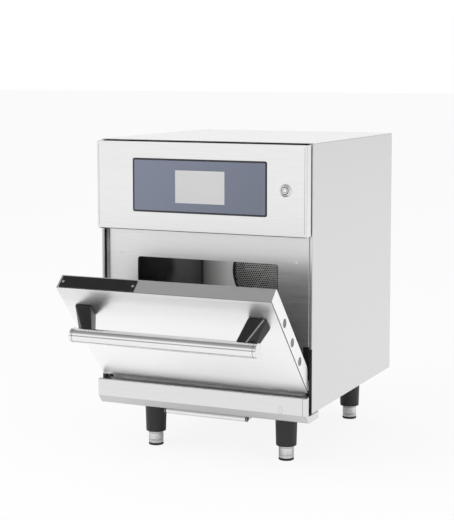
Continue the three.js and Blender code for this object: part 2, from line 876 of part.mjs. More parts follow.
// Door pieces are drawn in the closed door's place, with the front face flush with the fascia.
const doorFront = -proud;
const doorBack = doorFront + doorThickness;
const bodyFront = doorFront + doorSkin + doorSeam;
const doorX = [-doorHalf, doorHalf];
const chokeX = grown(doorX, -chokeSideMargin);
const chokeZ = [doorBottom + chokeLow, doorTop - chokeTopMargin];
const barHalfLength = doorHalf - barEndMargin;
const barZ = doorTop - barDrop;
const bracketOuter = doorHalf - bracketSideMargin;
const tipOuter = bracketOuter - tipStep;

function doorSkinPanel() {
  return box(doorX, [doorFront, doorFront + doorSkin], [doorBottom, doorTop]);
}

function doorBody() {
  const profile = [
    [bodyFront, doorBottom],
    [doorFront + doorToe, doorBottom],
    [doorBack, doorBottom + doorChamferRise],
    [doorBack, doorTop],
    [bodyFront, doorTop],
  ];
  const path = roundedPath(profile, bendRadius);
  const outside = path.map(({ at }) => [at.x, at.y]);
  const inside = path.map(({ at, normal }) => [at.x + normal.x * doorWall, at.y + normal.y * doorWall]);
  const openFront = bodyFront - overrun;
  const hollow = [[openFront, doorBottom + doorWall], ...inside, [openFront, doorTop - doorWall]];
  const middle = doorFront + doorThickness / 2;
  const pitch = (doorHeight - sideHoleLow - sideHoleTop) / (sideHoles - 1);
  const holes = Array.from({ length: sideHoles }, (_, i) =>
    rod("x", grown(doorX, overrun), [middle, doorBottom + sideHoleLow + i * pitch], sideHoleRadius,
      tubeSides));
  const window = box(chokeX, [doorBack - doorWall - overrun, doorBack + overrun], chokeZ);
  return cut(prism("x", doorX, outside), prism("x", grown(doorX, -doorWall), hollow), ...holes, window);
}

function doorChoke() {
  const inside = doorBack - doorWall - gap;
  const rim = box(grown(chokeX, chokeLap), [inside - doorWall, inside], grown(chokeZ, chokeLap));
  const face = box(grown(chokeX, -gap), [inside - doorWall, doorBack], grown(chokeZ, -gap));
  const grooveY = [doorBack - chokeGrooveDepth, doorBack + overrun];
  const land = chokeGroove * 2;
  const groove = cut(box(grown(chokeX, -chokeGroove), grooveY, grown(chokeZ, -chokeGroove)),
    box(grown(chokeX, -land), grown(grooveY, overrun), grown(chokeZ, -land)));
  return cut(join(rim, face), groove);
}

function doorGasket() {
  const x = grown(chokeX, gasketMargin);
  const z = grown(chokeZ, gasketMargin);
  const y = [doorBack + gap, doorBack + gap + gasketThickness];
  return cut(box(grown(x, gasketWidth), y, grown(z, gasketWidth)), box(x, grown(y, overrun), z));
}

const barY = doorFront - barOut;

function handleBar() {
  const x = [-barHalfLength, barHalfLength];
  const place = [barY, barZ];
  const middle = rod("x", grown(x, -barChamfer), place, barRadius);
  const right = rod("x", [barHalfLength - barChamfer, barHalfLength], place, barRadius, roundSides,
    barRadius - barChamfer);
  const left = rod("x", [-barHalfLength, -barHalfLength + barChamfer], place, barRadius - barChamfer,
    roundSides, barRadius);
  const hollow = rod("x", grown(x, -barChamfer - barWall), place, barRadius - barWall);
  const screwX = tipOuter - tipWidth / 2;
  const screws = [-screwX, screwX].map((at) =>
    rod("y", [barY, barY + barRadius + overrun], [at, barZ], barScrewRadius, smallSides));
  return cut(join(middle, right, left), hollow, ...screws);
}

// A tapered block from its foot on the door to its tip, which is cut to the bar's round.
function handleBracket() {
  const foot = doorFront - gap;
  const tip = barY + tipInset;
  const section = (outer, width, low, high, y) => [
    [outer - width, y, low],
    [outer - bracketRidge, y, low],
    [outer, y, low + bracketRidge],
    [outer, y, high - bracketRidge],
    [outer - bracketRidge, y, high],
    [outer - width, y, high],
  ];
  const corners = [
    ...section(bracketOuter, bracketWidth, barZ - bracketBelow, barZ + bracketAbove, foot),
    ...section(tipOuter, tipWidth, barZ - tipBelow, barZ + tipAbove, tip),
  ];
  const block = solid(new ConvexGeometry(corners.map((corner) => new THREE.Vector3(...corner))));
  return cut(block, rod("x", grown([-barHalfLength, barHalfLength], overrun), [barY, barZ],
    barRadius + gap));
}

function doorPlate() {
  const z = doorTop + gap;
  const y = [bodyFront + doorPlateFrontMargin, doorBack - doorPlateBackMargin];
  const left = -doorHalf + doorPlateSideMargin;
  const right = left + doorPlateWidth;
  const plate = box([left, right], y, [z, z + doorPlateThickness]);
  const rivets = [left + rivetInset, right - rivetInset].map((x) =>
    rod("z", [z, z + doorPlateThickness + rivetHeight], [x, (y[0] + y[1]) / 2], rivetRadius, smallSides,
      rivetRadius / 2));
  return join(plate, ...rivets);
}

const hingeX = doorHalf - hingeSideMargin;
const hingeInner = around(hingeX, hingeArm);
const hingeEye = hingePinRadius + hingeEyeWall;
const hingeNose = hingeEye + hingeNoseMargin;

// The casing's half of a hinge: two cheeks on a back plate, with the pin across them.
function hinge() {
  const cheekOuter = grown(hingeInner, gap + hingeCheek);
  const back = frameRecess - gap;
  const noseTop = [hingeY, hingeZ + hingeNose];
  const steps = Array.from({ length: noseSteps - 1 }, (_, i) => {
    const angle = Math.PI / 2 + ((i + 1) * Math.PI) / noseSteps;
    return [hingeY + hingeNose * Math.cos(angle), hingeZ + hingeNose * Math.sin(angle)];
  });
  const outline = [[back, hingeZ + hingeNose], noseTop, ...steps, [hingeY, hingeZ - hingeNose],
    [back, hingeZ - hingeNose]].reverse();
  const cheeks = [
    prism("x", [cheekOuter[0], cheekOuter[0] + hingeCheek], outline),
    prism("x", [cheekOuter[1] - hingeCheek, cheekOuter[1]], outline),
  ];
  const plate = cut(
    box(grown(cheekOuter, hingeBackMargin), [back - hingeBackPlate, back],
      around(hingeZ, (hingeNose + hingeBackMargin) * 2)),
    box(grown(hingeInner, gap), [back - hingeBackPlate - overrun, back + overrun],
      around(hingeZ, hingeNose * 2)));
  const pin = rod("x", cheekOuter, [hingeY, hingeZ], hingePinRadius, tubeSides);
  return join(...cheeks, plate, pin);
}

// The door's half of a hinge: an eye on the pin and a foot that lies on the door's sloping toe.
function hingeArmPiece() {
  const toe = new THREE.Vector2(doorFront + doorToe, doorBottom);
  const along = new THREE.Vector2(doorBack, doorBottom + doorChamferRise).sub(toe).normalize();
  const outward = new THREE.Vector2(along.y, -along.x);
  const axis = new THREE.Vector2(hingeY, hingeZ);
  const reach = axis.clone().sub(toe).dot(outward) - gap;
  const place = (forward, side) => {
    const at = axis.clone().addScaledVector(outward, -forward).addScaledVector(along, side);
    return [at.x, at.y];
  };
  const arm = prism("x", hingeInner,
    [place(0, -hingeEye), place(0, hingeEye), place(reach, hingeEye), place(reach, -hingeEye)].reverse());
  const eye = rod("x", hingeInner, [hingeY, hingeZ], hingeEye, tubeSides);
  const foot = prism("x", around(hingeX, hingeFootWidth), [
    place(reach - hingeFootThickness, -hingeFootHalf), place(reach - hingeFootThickness, hingeFootHalf),
    place(reach, hingeFootHalf), place(reach, -hingeFootHalf)].reverse());
  const bore = rod("x", grown(hingeInner, overrun), [hingeY, hingeZ], hingePinRadius + gap, tubeSides);
  return join(cut(join(arm, eye), bore), foot);
}

function doorSwitch() {
  const body = box(around(switchX, switchWidth), [cavityFront, cavityFront + switchDepth],
    around(switchZ, switchHeight));
  const pin = rod("y", [frameRecess - switchPinProud, cavityFront + switchPin], [switchX, switchZ],
    switchPin, smallSides);
  return join(body, pin);
}

const trayRailWeb = fasciaHalf - trayRailInset;

// The tray's floor hangs below the casing; its front wall stands ahead of the casing's edge.
function dripTray() {
  const path = [
    [-proud, trayTop],
    [-proud, -trayDrop, trayRound],
    [trayBack, -trayDrop],
    [trayBack, -trayWallGap],
  ];
  const pan = prism("x", [-fasciaHalf, fasciaHalf], bentSheet(path, sheet));
  const rim = roundedPath(path, bendRadius).map(({ at }) => [at.x, at.y]);
  const sideOutline = [...rim, [-proud + traySideDepth, -trayWallGap], [-proud + traySideDepth, trayTop]];
  const flangeTop = -trayWallGap;
  const walls = [-1, 1].flatMap((side) => {
    const wall = [side * fasciaHalf, side * (fasciaHalf - sheet)].sort((a, b) => a - b);
    const flange = [side * fasciaHalf, side * (fasciaHalf - trayFlange)].sort((a, b) => a - b);
    return [
      prism("x", wall, sideOutline),
      box(flange, [0, trayBack], [flangeTop - sheet, flangeTop]),
    ];
  });
  const notch = grown([-trayWallGap - sheet - gap - railSheet, 0], sheet);
  const notches = [-1, 1].map((side) => {
    const near = trayRailWeb - railSheet - railNotchMargin;
    const far = trayRailWeb + trayRailLip + railNotchMargin;
    return box([side * near, side * far].sort((a, b) => a - b), [trayBack - overrun, trayBack + overrun],
      notch);
  });
  return join(cut(pan, ...notches), ...walls);
}

function trayRail() {
  const lipTop = -trayWallGap - sheet - gap;
  const outline = bentSheet([
    [trayRailWeb - trayRailWidth, -gap],
    [trayRailWeb, -gap, railBend],
    [trayRailWeb, lipTop, railTightBend],
    [trayRailWeb + trayRailLip, lipTop],
  ].reverse(), railSheet);
  return prism("y", [baseFrontInset + gap, legFrontY - legTopRadius - railLegGap], outline);
}

const filterTop = trayDrop + filterTrayGap;

function airFilter() {
  const x = [-filterHalfWidth, filterHalfWidth];
  const y = [filterFront, filterFront + filterLength];
  const middle = -filterTop - filterThickness / 2;
  const z = around(middle, filterThickness);
  const frame = cut(box(x, y, z), box(grown(x, -filterBorder), grown(y, -filterBorder), grown(z, overrun)));
  const pad = box(grown(x, -filterBorder / 2), grown(y, -filterBorder / 2),
    around(middle, filterPad));
  const bar = rod("x", grown(x, filterBarOverhang), [filterBarY, middle], filterBarRadius, tubeSides);
  return join(frame, pad, bar);
}

function filterRail() {
  const web = filterHalfWidth + gap;
  const outer = web + railSheet;
  const lipTop = -filterTop - filterThickness - gap;
  const outline = bentSheet([
    [outer + filterRailFlange, -gap - railSheet],
    [outer, -gap - railSheet, railTightBend],
    [outer, lipTop - railSheet],
    [outer - filterRailLip, lipTop - railSheet],
  ].reverse(), railSheet, railSheet + gap);
  return prism("y", [trayBack + overrun, filterFront + filterLength], outline);
}

const legBottom = -gap - legBodyHeight;

function legBody(x, y) {
  const sleeve = rod("z", [legBottom, -gap], [x, y], legBottomRadius, roundSides, legTopRadius);
  const stud = rod("z", [-overrun, studHeight], [x, y], studRadius, smallSides);
  const bore = rod("z", [legBottom - overrun, legBottom + adjusterInsert + adjusterHeadroom], [x, y],
    adjusterRadius + gap);
  return cut(join(sleeve, stud), bore);
}

function legAdjuster(x, y) {
  const bottom = -legHeight + padHeight + gap;
  return rod("z", [bottom, legBottom + adjusterInsert], [x, y], adjusterRadius);
}

function footPad(x, y) {
  return rod("z", [-legHeight, -legHeight + padHeight], [x, y], adjusterRadius + padLip);
}

const part = new THREE.Group();
const oven = new THREE.Group();
part.add(oven);

add(oven, "base_plate", basePlate(), darkSteel);
add(oven, "right_side_panel", sidePanel(), steel);
add(oven, "left_side_panel", sidePanel(), steel).scale.x = -1;
add(oven, "top_cover", topCover(), steel);
add(oven, "rear_panel", rearPanel(), steel);
add(oven, "front_frame", frontFrame(), steel);
add(oven, "control_panel", controlPanel(), steel);
add(oven, "touch_glass", touchGlass(), glass);
add(oven, "display_module", displayModule(), blackPlastic);
add(oven, "control_board", controlBoard(), board);
add(oven, "power_button_bezel", buttonBezel(), polishedSteel);
add(oven, "power_button", powerButton(), polishedSteel);
add(oven, "cavity_box", cavityBox(), steel);
add(oven, "fan_grille", fanGrille(), darkSteel);
add(oven, "cook_plate", cookPlate(), darkSteel);
add(oven, "insulation_wrap", insulationWrap(), wool);
add(oven, "air_chamber", airChamber(), darkSteel);
add(oven, "circulation_fan", circulationFan(), steel);
add(oven, "fan_motor", fanMotor(), blackPlastic);
add(oven, "air_heater", airHeater(), darkSteel);
add(oven, "waveguide", waveguide(), darkSteel);
add(oven, "magnetron", magnetron(), steel);
add(oven, "power_transformer", powerTransformer(), copper);
add(oven, "capacitor", capacitor(), steel);
add(oven, "cooling_fan_frame", coolingFanFrame(), blackPlastic);
add(oven, "cooling_fan_rotor", coolingFanRotor(), blackPlastic);
add(oven, "cable_gland", cableGland(), blackPlastic);
addPair(oven, "hinge", hinge(), darkSteel);
addPair(oven, "door_switch", doorSwitch(), blackPlastic);
add(oven, "drip_tray", dripTray(), steel);
addPair(oven, "tray_rail", trayRail(), darkSteel);
add(oven, "air_filter", airFilter(), steel);
addPair(oven, "filter_rail", filterRail(), darkSteel);

const doorPivot = new THREE.Group();
doorPivot.position.set(0, hingeY, hingeZ);
doorPivot.rotation.x = THREE.MathUtils.degToRad(doorOpenDegrees);
const door = new THREE.Group();
door.position.set(0, -hingeY, -hingeZ);
oven.add(doorPivot.add(door));

add(door, "door_skin", doorSkinPanel(), steel);
add(door, "door_body", doorBody(), steel);
add(door, "door_choke", doorChoke(), steel);
add(door, "door_gasket", doorGasket(), silicone);
add(door, "handle_bar", handleBar(), polishedSteel);
addPair(door, "handle_bracket", handleBracket(), blackPlastic);
add(door, "door_plate", doorPlate(), blackPlastic);
addPair(door, "hinge_arm", hingeArmPiece(), darkSteel);

for (const [corner, x, y] of legPlaces) {
  add(oven, "leg_" + corner, legBody(x, y), blackPlastic);
  add(oven, "leg_adjuster_" + corner, legAdjuster(x, y), polishedSteel);
  add(oven, "foot_pad_" + corner, footPad(x, y), rubber);
}

// The origin: the worktop, under the middle of the outline from front to back.
part.updateMatrixWorld(true);
const outline = new THREE.Box3().setFromObject(part, true);
oven.position.set(0, -(outline.min.y + outline.max.y) / 2, legHeight);

export default part;
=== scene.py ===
"""A countertop speed oven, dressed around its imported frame: +Z up, +Y to the back, in metres."""
import json
import math

import bmesh
import bpy
from mathutils import Matrix, Vector


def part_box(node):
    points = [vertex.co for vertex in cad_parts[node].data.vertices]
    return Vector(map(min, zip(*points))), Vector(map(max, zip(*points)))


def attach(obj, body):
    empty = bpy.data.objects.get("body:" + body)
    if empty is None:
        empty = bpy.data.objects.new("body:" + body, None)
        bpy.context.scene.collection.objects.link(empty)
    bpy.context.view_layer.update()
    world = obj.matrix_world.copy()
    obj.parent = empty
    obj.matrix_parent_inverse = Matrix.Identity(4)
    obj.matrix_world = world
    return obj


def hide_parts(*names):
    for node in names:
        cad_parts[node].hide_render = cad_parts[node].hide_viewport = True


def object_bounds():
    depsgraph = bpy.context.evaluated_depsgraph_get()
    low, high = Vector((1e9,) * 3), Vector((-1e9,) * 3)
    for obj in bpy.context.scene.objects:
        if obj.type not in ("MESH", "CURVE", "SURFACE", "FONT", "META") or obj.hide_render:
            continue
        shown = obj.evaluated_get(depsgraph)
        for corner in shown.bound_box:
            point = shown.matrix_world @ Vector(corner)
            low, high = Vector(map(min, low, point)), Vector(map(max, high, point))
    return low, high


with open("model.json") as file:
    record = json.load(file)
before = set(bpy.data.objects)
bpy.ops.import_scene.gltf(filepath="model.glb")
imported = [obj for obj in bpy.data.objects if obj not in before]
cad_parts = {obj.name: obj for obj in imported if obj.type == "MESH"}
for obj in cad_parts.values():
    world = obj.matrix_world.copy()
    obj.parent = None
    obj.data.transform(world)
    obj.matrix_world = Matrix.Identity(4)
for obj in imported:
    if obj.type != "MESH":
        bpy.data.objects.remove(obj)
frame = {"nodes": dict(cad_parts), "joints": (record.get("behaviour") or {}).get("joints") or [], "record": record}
cad_low, cad_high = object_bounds()

GAP = 0.0003
CASING_BOTTOM = 0.116
SIDES = (("left", -1), ("right", 1))
# A distance or an angle that counts as none.
TINY = 1e-6
SMOOTH_ANGLE = math.radians(38)
FLAT_ANGLE = math.radians(0.5)
EDGE = 0.0003
THIN_EDGE = 0.0001
ROUND_STEPS = 96
MEDIUM_ROUND_STEPS = 48
SMALL_ROUND_STEPS = 32
BEND_STEPS = 10

# Photograph
PHOTO_LONG_SIDE = 520
SENSOR = 36.0
FOCAL_PIXELS = 1443.9
SHIFT_PIXELS = -52
CAMERA_AT = (1.19288, -2.68854, 0.77559)
CAMERA_TURN = math.radians(24.261)
CAMERA_DROP = math.radians(5.557)


def span(node):
    """The lowest and highest corner of a node at rest."""
    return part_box(node)


def middle(low, high):
    return (low + high) / 2


# The door's pieces are shaped in the closed door's place and then turned open about its hinge.
hinge_joint = next(joint for joint in frame["joints"] if joint["name"] == "door_hinge")
hinge_at = Vector(hinge_joint["pos_m"])
OPEN_DOOR = (
    Matrix.Translation(hinge_at)
    @ Matrix.Rotation(math.radians(-hinge_joint["range_deg"][0]), 4, "X")
    @ Matrix.Translation(-hinge_at)
)
CLOSE_DOOR = OPEN_DOOR.inverted()


def closed_span(node):
    """The lowest and highest corner of a door node with the door shut."""
    points = [CLOSE_DOOR @ vertex.co for vertex in frame["nodes"][node].data.vertices]
    return [Vector([pick(point[i] for point in points) for i in range(3)]) for pick in (min, max)]


# Mesh building

def rounded_path(points, radii, steps=BEND_STEPS):
    """(place, left-hand normal) pairs along a path whose corners are rounded by one or more radii."""
    points = [Vector((*point, 0)) for point in points]
    runs = [(b - a).normalized() for a, b in zip(points, points[1:])]
    normals = [Vector((-run.y, run.x, 0)) for run in runs]
    path = [(points[0], normals[0])]
    for i in range(1, len(points) - 1):
        before, after = normals[i - 1], normals[i]
        angle = math.atan2(before.cross(after).z, before.dot(after))
        if abs(angle) < TINY:
            continue
        side = math.copysign(1, angle)
        radius = radii[i - 1] if isinstance(radii, tuple) else radii
        start = points[i] - runs[i - 1] * radius * math.tan(abs(angle) / 2)
        centre = start + before * side * radius
        for step in range(steps + 1):
            normal = Matrix.Rotation(angle * step / steps, 3, "Z") @ before
            path.append((centre - normal * side * radius, normal))
    path.append((points[-1], normals[-1]))
    return path


def bent_sheet(points, thickness, radii):
    """The outer and the inner side of a bent sheet whose outer side follows the points."""
    path = rounded_path(points, radii)
    outer = [(at.x, at.y) for at, _ in path]
    inner = [(at.x + normal.x * thickness, at.y + normal.y * thickness) for at, normal in path]
    return outer, inner


def rounded_rectangle(low, high, radius, steps=BEND_STEPS):
    """The outline of a rectangle with rounded corners, from the middle of its lowest side."""
    centre = (low[0] + high[0]) / 2
    corners = [(centre, low[1]), (high[0], low[1]), (high[0], high[1]), (low[0], high[1]),
               (low[0], low[1]), (centre, low[1])]
    return [(at.x, at.y) for at, _ in rounded_path(corners, radius, steps)][:-1]


def circle(centre, radius, steps=ROUND_STEPS, first=0):
    """Points round a centre, the first of them turned by a number of steps."""
    turns = [2 * math.pi * (i + first) / steps for i in range(steps)]
    return [(centre[0] + radius * math.cos(t), centre[1] + radius * math.sin(t)) for t in turns]


def place_on(axis, u, v, along):
    """A point from its place along an axis and the other two coordinates, in x, y, z order."""
    if axis == "x":
        return Vector((along, u, v))
    if axis == "y":
        return Vector((u, along, v))
    return Vector((u, v, along))


def bridged(mesh, first, second, material=0):
    """Faces from one ring of points to another."""
    count = len(first)
    for i in range(count):
        j = (i + 1) % count
        mesh.faces.new((first[i], first[j], second[j], second[i])).material_index = material


def prism(axis, start, end, outline):
    """An outline drawn out along one axis into a closed mesh."""
    mesh = bmesh.new()
    near = [mesh.verts.new(place_on(axis, u, v, start)) for u, v in outline]
    far = [mesh.verts.new(place_on(axis, u, v, end)) for u, v in outline]
    mesh.faces.new(near)
    mesh.faces.new(far[::-1])
    bridged(mesh, near, far)
    bmesh.ops.recalc_face_normals(mesh, faces=mesh.faces)
    return mesh


def block(xs, ys, zs):
    """A box between two places on each axis, given in any order."""
    (x0, x1), (y0, y1), (z0, z1) = (sorted(ends) for ends in (xs, ys, zs))
    return prism("z", z0, z1, [(x0, y0), (x1, y0), (x1, y1), (x0, y1)])


def turned(axis, centre, profile, steps=ROUND_STEPS):
    """A profile of (radius, place along the axis) points turned about that axis."""
    mesh = bmesh.new()
    rings = []
    for radius, along in profile:
        outline = circle(centre, radius, steps) if radius else [centre]
        rings.append([mesh.verts.new(place_on(axis, u, v, along)) for u, v in outline])
    for first, second in zip(rings, rings[1:] + rings[:1]):
        if len(first) == 1 and len(second) == 1:
            continue
        for i in range(steps):
            j = (i + 1) % steps
            corners = [first[i % len(first)], first[j % len(first)],
                       second[j % len(second)], second[i % len(second)]]
            mesh.faces.new(list(dict.fromkeys(corners)))
    bmesh.ops.recalc_face_normals(mesh, faces=mesh.faces)
    return mesh


def as_object(mesh, name="spare"):
    data = bpy.data.meshes.new(name)
    mesh.to_mesh(data)
    mesh.free()
    thing = bpy.data.objects.new(name, data)
    bpy.context.scene.collection.objects.link(thing)
    return thing


def tidy(mesh):
    """Merges doubled points and joins the faces that lie in one plane."""
    bmesh.ops.remove_doubles(mesh, verts=mesh.verts, dist=TINY)
    bmesh.ops.dissolve_limit(mesh, angle_limit=FLAT_ANGLE, verts=mesh.verts, edges=mesh.edges)
    return mesh


def combined(mesh, *tools, operation="DIFFERENCE"):
    """A mesh with other closed meshes cut out of it, or joined to it."""
    target = as_object(mesh)
    others = [as_object(tool) for tool in tools]
    for other in others:
        modifier = target.modifiers.new("cut", "BOOLEAN")
        modifier.operation = operation
        modifier.solver = "EXACT"
        modifier.object = other
    result = bmesh.new()
    result.from_object(target, bpy.context.evaluated_depsgraph_get())
    for thing in [target] + others:
        data = thing.data
        bpy.data.objects.remove(thing)
        bpy.data.meshes.remove(data)
    return tidy(result)


def softened(mesh, width=EDGE, segments=2, sharper_than=SMOOTH_ANGLE):
    """Rounds every edge that is sharper than an angle."""
    edges = [edge for edge in mesh.edges
             if len(edge.link_faces) == 2 and edge.calc_face_angle(0) > sharper_than]
    bmesh.ops.bevel(mesh, geom=edges, offset=width, segments=segments, profile=0.5, affect="EDGES",
                    clamp_overlap=True)
    return mesh


def set_apart(mesh, test):
    """Gives the faces that pass a test the piece's second material."""
    for face in mesh.faces:
        if test(face):
            face.material_index = 1
    return mesh


def node_mesh(node):
    """A CAD node's shape as a mesh of whole faces."""
    mesh = bmesh.new()
    mesh.from_mesh(frame["nodes"][node].data)
    return tidy(mesh)


def add_piece(name, mesh, material, body="cabinet", nodes=(), place=None):
    """A finished piece that rides on a body and stands for the named nodes."""
    if place is not None:
        bmesh.ops.transform(mesh, matrix=place, verts=mesh.verts)
    bmesh.ops.triangulate(mesh, faces=[face for face in mesh.faces if len(face.verts) > 4])
    piece = as_object(mesh, name)
    for item in material if isinstance(material, tuple) else (material,):
        piece.data.materials.append(item)
    piece.data.shade_smooth()
    piece.data.set_sharp_from_angle(angle=SMOOTH_ANGLE)
    weighted = piece.modifiers.new("normals", "WEIGHTED_NORMAL")
    weighted.keep_sharp = True
    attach(piece, body)
    if nodes:
        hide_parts(*nodes)


body_of_node = {node: body for body, nodes in frame["record"]["behaviour"]["bodies"].items()
                for node in nodes}


def stand_in(name, mesh, material, node, place=None):
    """A finished piece that stands for a node, on its body."""
    add_piece(name, mesh, material, body_of_node[node], [node], place)


def dress(node, material, width=EDGE, segments=2):
    """The node's own shape with its edges rounded."""
    stand_in(node + "_shape", softened(node_mesh(node), width, segments), material, node)


def paint(node, material):
    """The node as it is, with a finish."""
    slots = frame["nodes"][node].data.materials
    slots.clear()
    slots.append(material)


# Materials

WHITE = (1, 1, 1, 1)
# The values between which most of a noise lies.
NOISE_VALUES = (0.3, 0.7)


def grey(level):
    return (level, level, level)


class Nodes:
    """A node tree that is built by short calls."""

    def __init__(self, tree):
        self.tree = tree

    def fill(self, node, **inputs):
        """Sets a node's inputs by their names."""
        for key, value in inputs.items():
            node.inputs[key.replace("_", " ")].default_value = value

    def node(self, kind, **inputs):
        node = self.tree.nodes.new("ShaderNode" + kind)
        self.fill(node, **inputs)
        return node

    def link(self, source, target):
        self.tree.links.new(source, target)

    def fed(self, kind, *sources, operation=None):
        """A node whose inputs are fed in their order, by other nodes' outputs or by values."""
        node = self.node(kind)
        if operation:
            node.operation = operation
        for source, target in zip(sources, node.inputs):
            if isinstance(source, bpy.types.NodeSocket):
                self.link(source, target)
            else:
                target.default_value = source
        return node

    def spread(self, source, start, end, low, high):
        """A value between start and end, spread from low to high."""
        spread = self.node("MapRange", From_Min=start, From_Max=end, To_Min=low, To_Max=high)
        self.link(source, spread.inputs["Value"])
        return spread.outputs["Result"]


class Finish(Nodes):
    """A principled material whose sockets can be fed by a few texture nodes."""

    def __init__(self, name, color, roughness, metallic=0.0):
        self.material = bpy.data.materials.new(name)
        self.material.use_nodes = True
        super().__init__(self.material.node_tree)
        self.shader = self.tree.nodes["Principled BSDF"]
        self.color = color if isinstance(color, tuple) else grey(color)
        self.roughness = roughness
        self.fill(self.shader, Base_Color=(*self.color, 1), Roughness=roughness, Metallic=metallic)

    def noise(self, scale, stretch=(1, 1, 1), detail=2.0):
        """A noise pattern in object space, finer along the axes with the larger stretch."""
        mapping = self.node("Mapping", Scale=stretch)
        pattern = self.node("TexNoise", Scale=scale, Detail=detail)
        self.link(self.node("TexCoord").outputs["Object"], mapping.inputs["Vector"])
        self.link(mapping.outputs["Vector"], pattern.inputs["Vector"])
        return pattern.outputs["Fac"]

    def along(self, axis, start, end):
        """The place along an axis in object space, from dark at the start to light at the end."""
        parts = self.node("SeparateXYZ")
        self.link(self.node("TexCoord").outputs["Object"], parts.inputs["Vector"])
        return self.spread(parts.outputs[axis], start, end, *NOISE_VALUES)

    def vary_color(self, source, dark, light):
        """The colour times a value between dark and light."""
        mix = self.node("Mix")
        mix.data_type = "RGBA"
        mix.inputs[6].default_value = (*(part * dark for part in self.color), 1)
        mix.inputs[7].default_value = (*(min(1, part * light) for part in self.color), 1)
        self.link(self.spread(source, *NOISE_VALUES, 0, 1), mix.inputs["Factor"])
        self.link(mix.outputs[2], self.shader.inputs["Base Color"])

    def vary_roughness(self, source, change):
        low, high = self.roughness - change, self.roughness + change
        self.link(self.spread(source, *NOISE_VALUES, low, high), self.shader.inputs["Roughness"])

    def bump(self, source, distance, strength=0.5):
        bump = self.node("Bump", Strength=strength, Distance=distance)
        self.link(source, bump.inputs["Height"])
        self.link(bump.outputs["Normal"], self.shader.inputs["Normal"])


ALONG_X = (0.14, 4, 4)
ALONG_Y = (4, 0.14, 4)
EVENLY = (1, 1, 1)


def brushed(name, color, roughness, stretch=ALONG_X, streak=0.05, relief=0.000006, metallic=1.0,
            fade=None):
    """Sheet steel brushed along the axis with the smallest stretch, with streaks or with painted shade that fades
    along an axis.
    """
    finish = Finish(name, color, roughness, metallic)
    streaks = finish.noise(scale=120, stretch=stretch, detail=4.0)
    if fade:
        axis, start, end, light = fade
        finish.vary_color(finish.along(axis, start, end), 1, light)
    else:
        finish.vary_color(streaks, 1 - streak, 1 + streak / 2)
    finish.vary_roughness(streaks, change=0.04)
    finish.bump(finish.noise(scale=900, stretch=stretch), relief)
    return finish.material


# Painted shade on the cavity's steel: the axis, the dark and the light end, and how much lighter the light end is.
WALL_PAINTED_SHADE = ("Y", 0.05, 0.16, 2.3)
BACK_PAINTED_SHADE = ("X", -0.15, -0.09, 4.4)

# Copies of one brushed steel set lighter or darker as painted light and shade: the door's lightest, the sides',
# rear's and tray's darkest.
casing_steel = brushed("casing_steel", 0.91, 0.34, streak=0.03)
top_steel = brushed("top_steel", 0.92, 0.24, streak=0.02)
door_steel = brushed("door_steel", 0.965, 0.32, streak=0.02)
side_steel = brushed("side_steel", 0.76, 0.38, ALONG_Y, streak=0.015)
frame_steel = brushed("frame_steel", 0.88, 0.32, relief=0.000003)
# The cavity's walls are painted very dark as shade and lighter towards the back; its back wall is painted darker
# towards the left corner.
cavity_steel = brushed("cavity_steel", 0.055, 0.14, fade=WALL_PAINTED_SHADE)
cavity_back_steel = brushed("cavity_back_steel", 0.17, 0.4, metallic=0.5, fade=BACK_PAINTED_SHADE)
choke_steel = brushed("choke_steel", 0.38, 0.4, streak=0.04)
tray_steel = brushed("tray_steel", 0.78, 0.34, streak=0.03)
# A darker copy of the tray's steel: painted shade on its downward faces and on the tab's rim.
tray_shaded_steel = brushed("tray_shaded_steel", 0.61, 0.34, streak=0.03)
inner_steel = brushed("inner_steel", (0.58, 0.59, 0.60), 0.45, streak=0.1)
handle_steel = brushed("handle_steel", 0.86, 0.12, streak=0.03)
grille_steel = brushed("grille_steel", 0.55, 0.42, EVENLY)
dark_steel = brushed("dark_steel", 0.03, 0.45, streak=0.2)
dull_steel = brushed("dull_steel", 0.3, 0.5, EVENLY, streak=0.06)


def polished(name, color, roughness):
    """Turned metal with faint marks of handling."""
    finish = Finish(name, color, roughness, metallic=1.0)
    marks = finish.noise(scale=220, stretch=(1, 1, 6), detail=4.0)
    finish.vary_color(marks, dark=0.9, light=1.04)
    finish.vary_roughness(marks, change=0.05)
    finish.bump(marks, distance=0.00002, strength=0.4)
    return finish.material


polished_steel = polished("polished_steel", 0.74, 0.2)
bezel_steel = polished("bezel_steel", 0.88, 0.28)
fin_aluminium = polished("fin_aluminium", (0.78, 0.79, 0.8), 0.38)


def moulded(name, color, roughness, grain=0.00006):
    """Moulded plastic or rubber with a fine grain and a slight change of tone."""
    finish = Finish(name, color, roughness)
    broad = finish.noise(scale=24, detail=3.0)
    finish.vary_color(broad, dark=0.85, light=1.2)
    finish.vary_roughness(broad, change=0.06)
    finish.bump(finish.noise(scale=1400), distance=grain)
    return finish.material


black_plastic = moulded("black_plastic", (0.013, 0.013, 0.014), 0.45)
bracket_black = moulded("bracket_black", (0.008, 0.008, 0.009), 0.2)
# A lighter grey for the painted highlight on a bracket's ridge.
bracket_ridge_highlight = moulded("bracket_ridge_highlight", 0.2, 0.4)
strip_grey = moulded("strip_grey", 0.5, 0.6)
pale_plastic = moulded("pale_plastic", (0.8, 0.8, 0.79), 0.5)
motor_black = moulded("motor_black", (0.05, 0.05, 0.055), 0.5)
silicone = moulded("silicone", (0.1, 0.1, 0.105), 0.6)
foot_rubber = moulded("foot_rubber", 0.02, 0.75, grain=0.0001)
plate_black = moulded("plate_black", 0.008, 0.25, grain=0.00002)
circuit_board = moulded("circuit_board", (0.03, 0.16, 0.07), 0.5)
core_iron = moulded("core_iron", (0.2, 0.11, 0.07), 0.55)


def ceramic():
    """Fired cordierite with fine speckles."""
    finish = Finish("stoneware", (0.55, 0.52, 0.47), 0.7)
    speckles = finish.noise(scale=900, detail=6.0)
    finish.vary_color(speckles, dark=0.8, light=1.1)
    finish.bump(speckles, distance=0.00015, strength=0.6)
    return finish.material


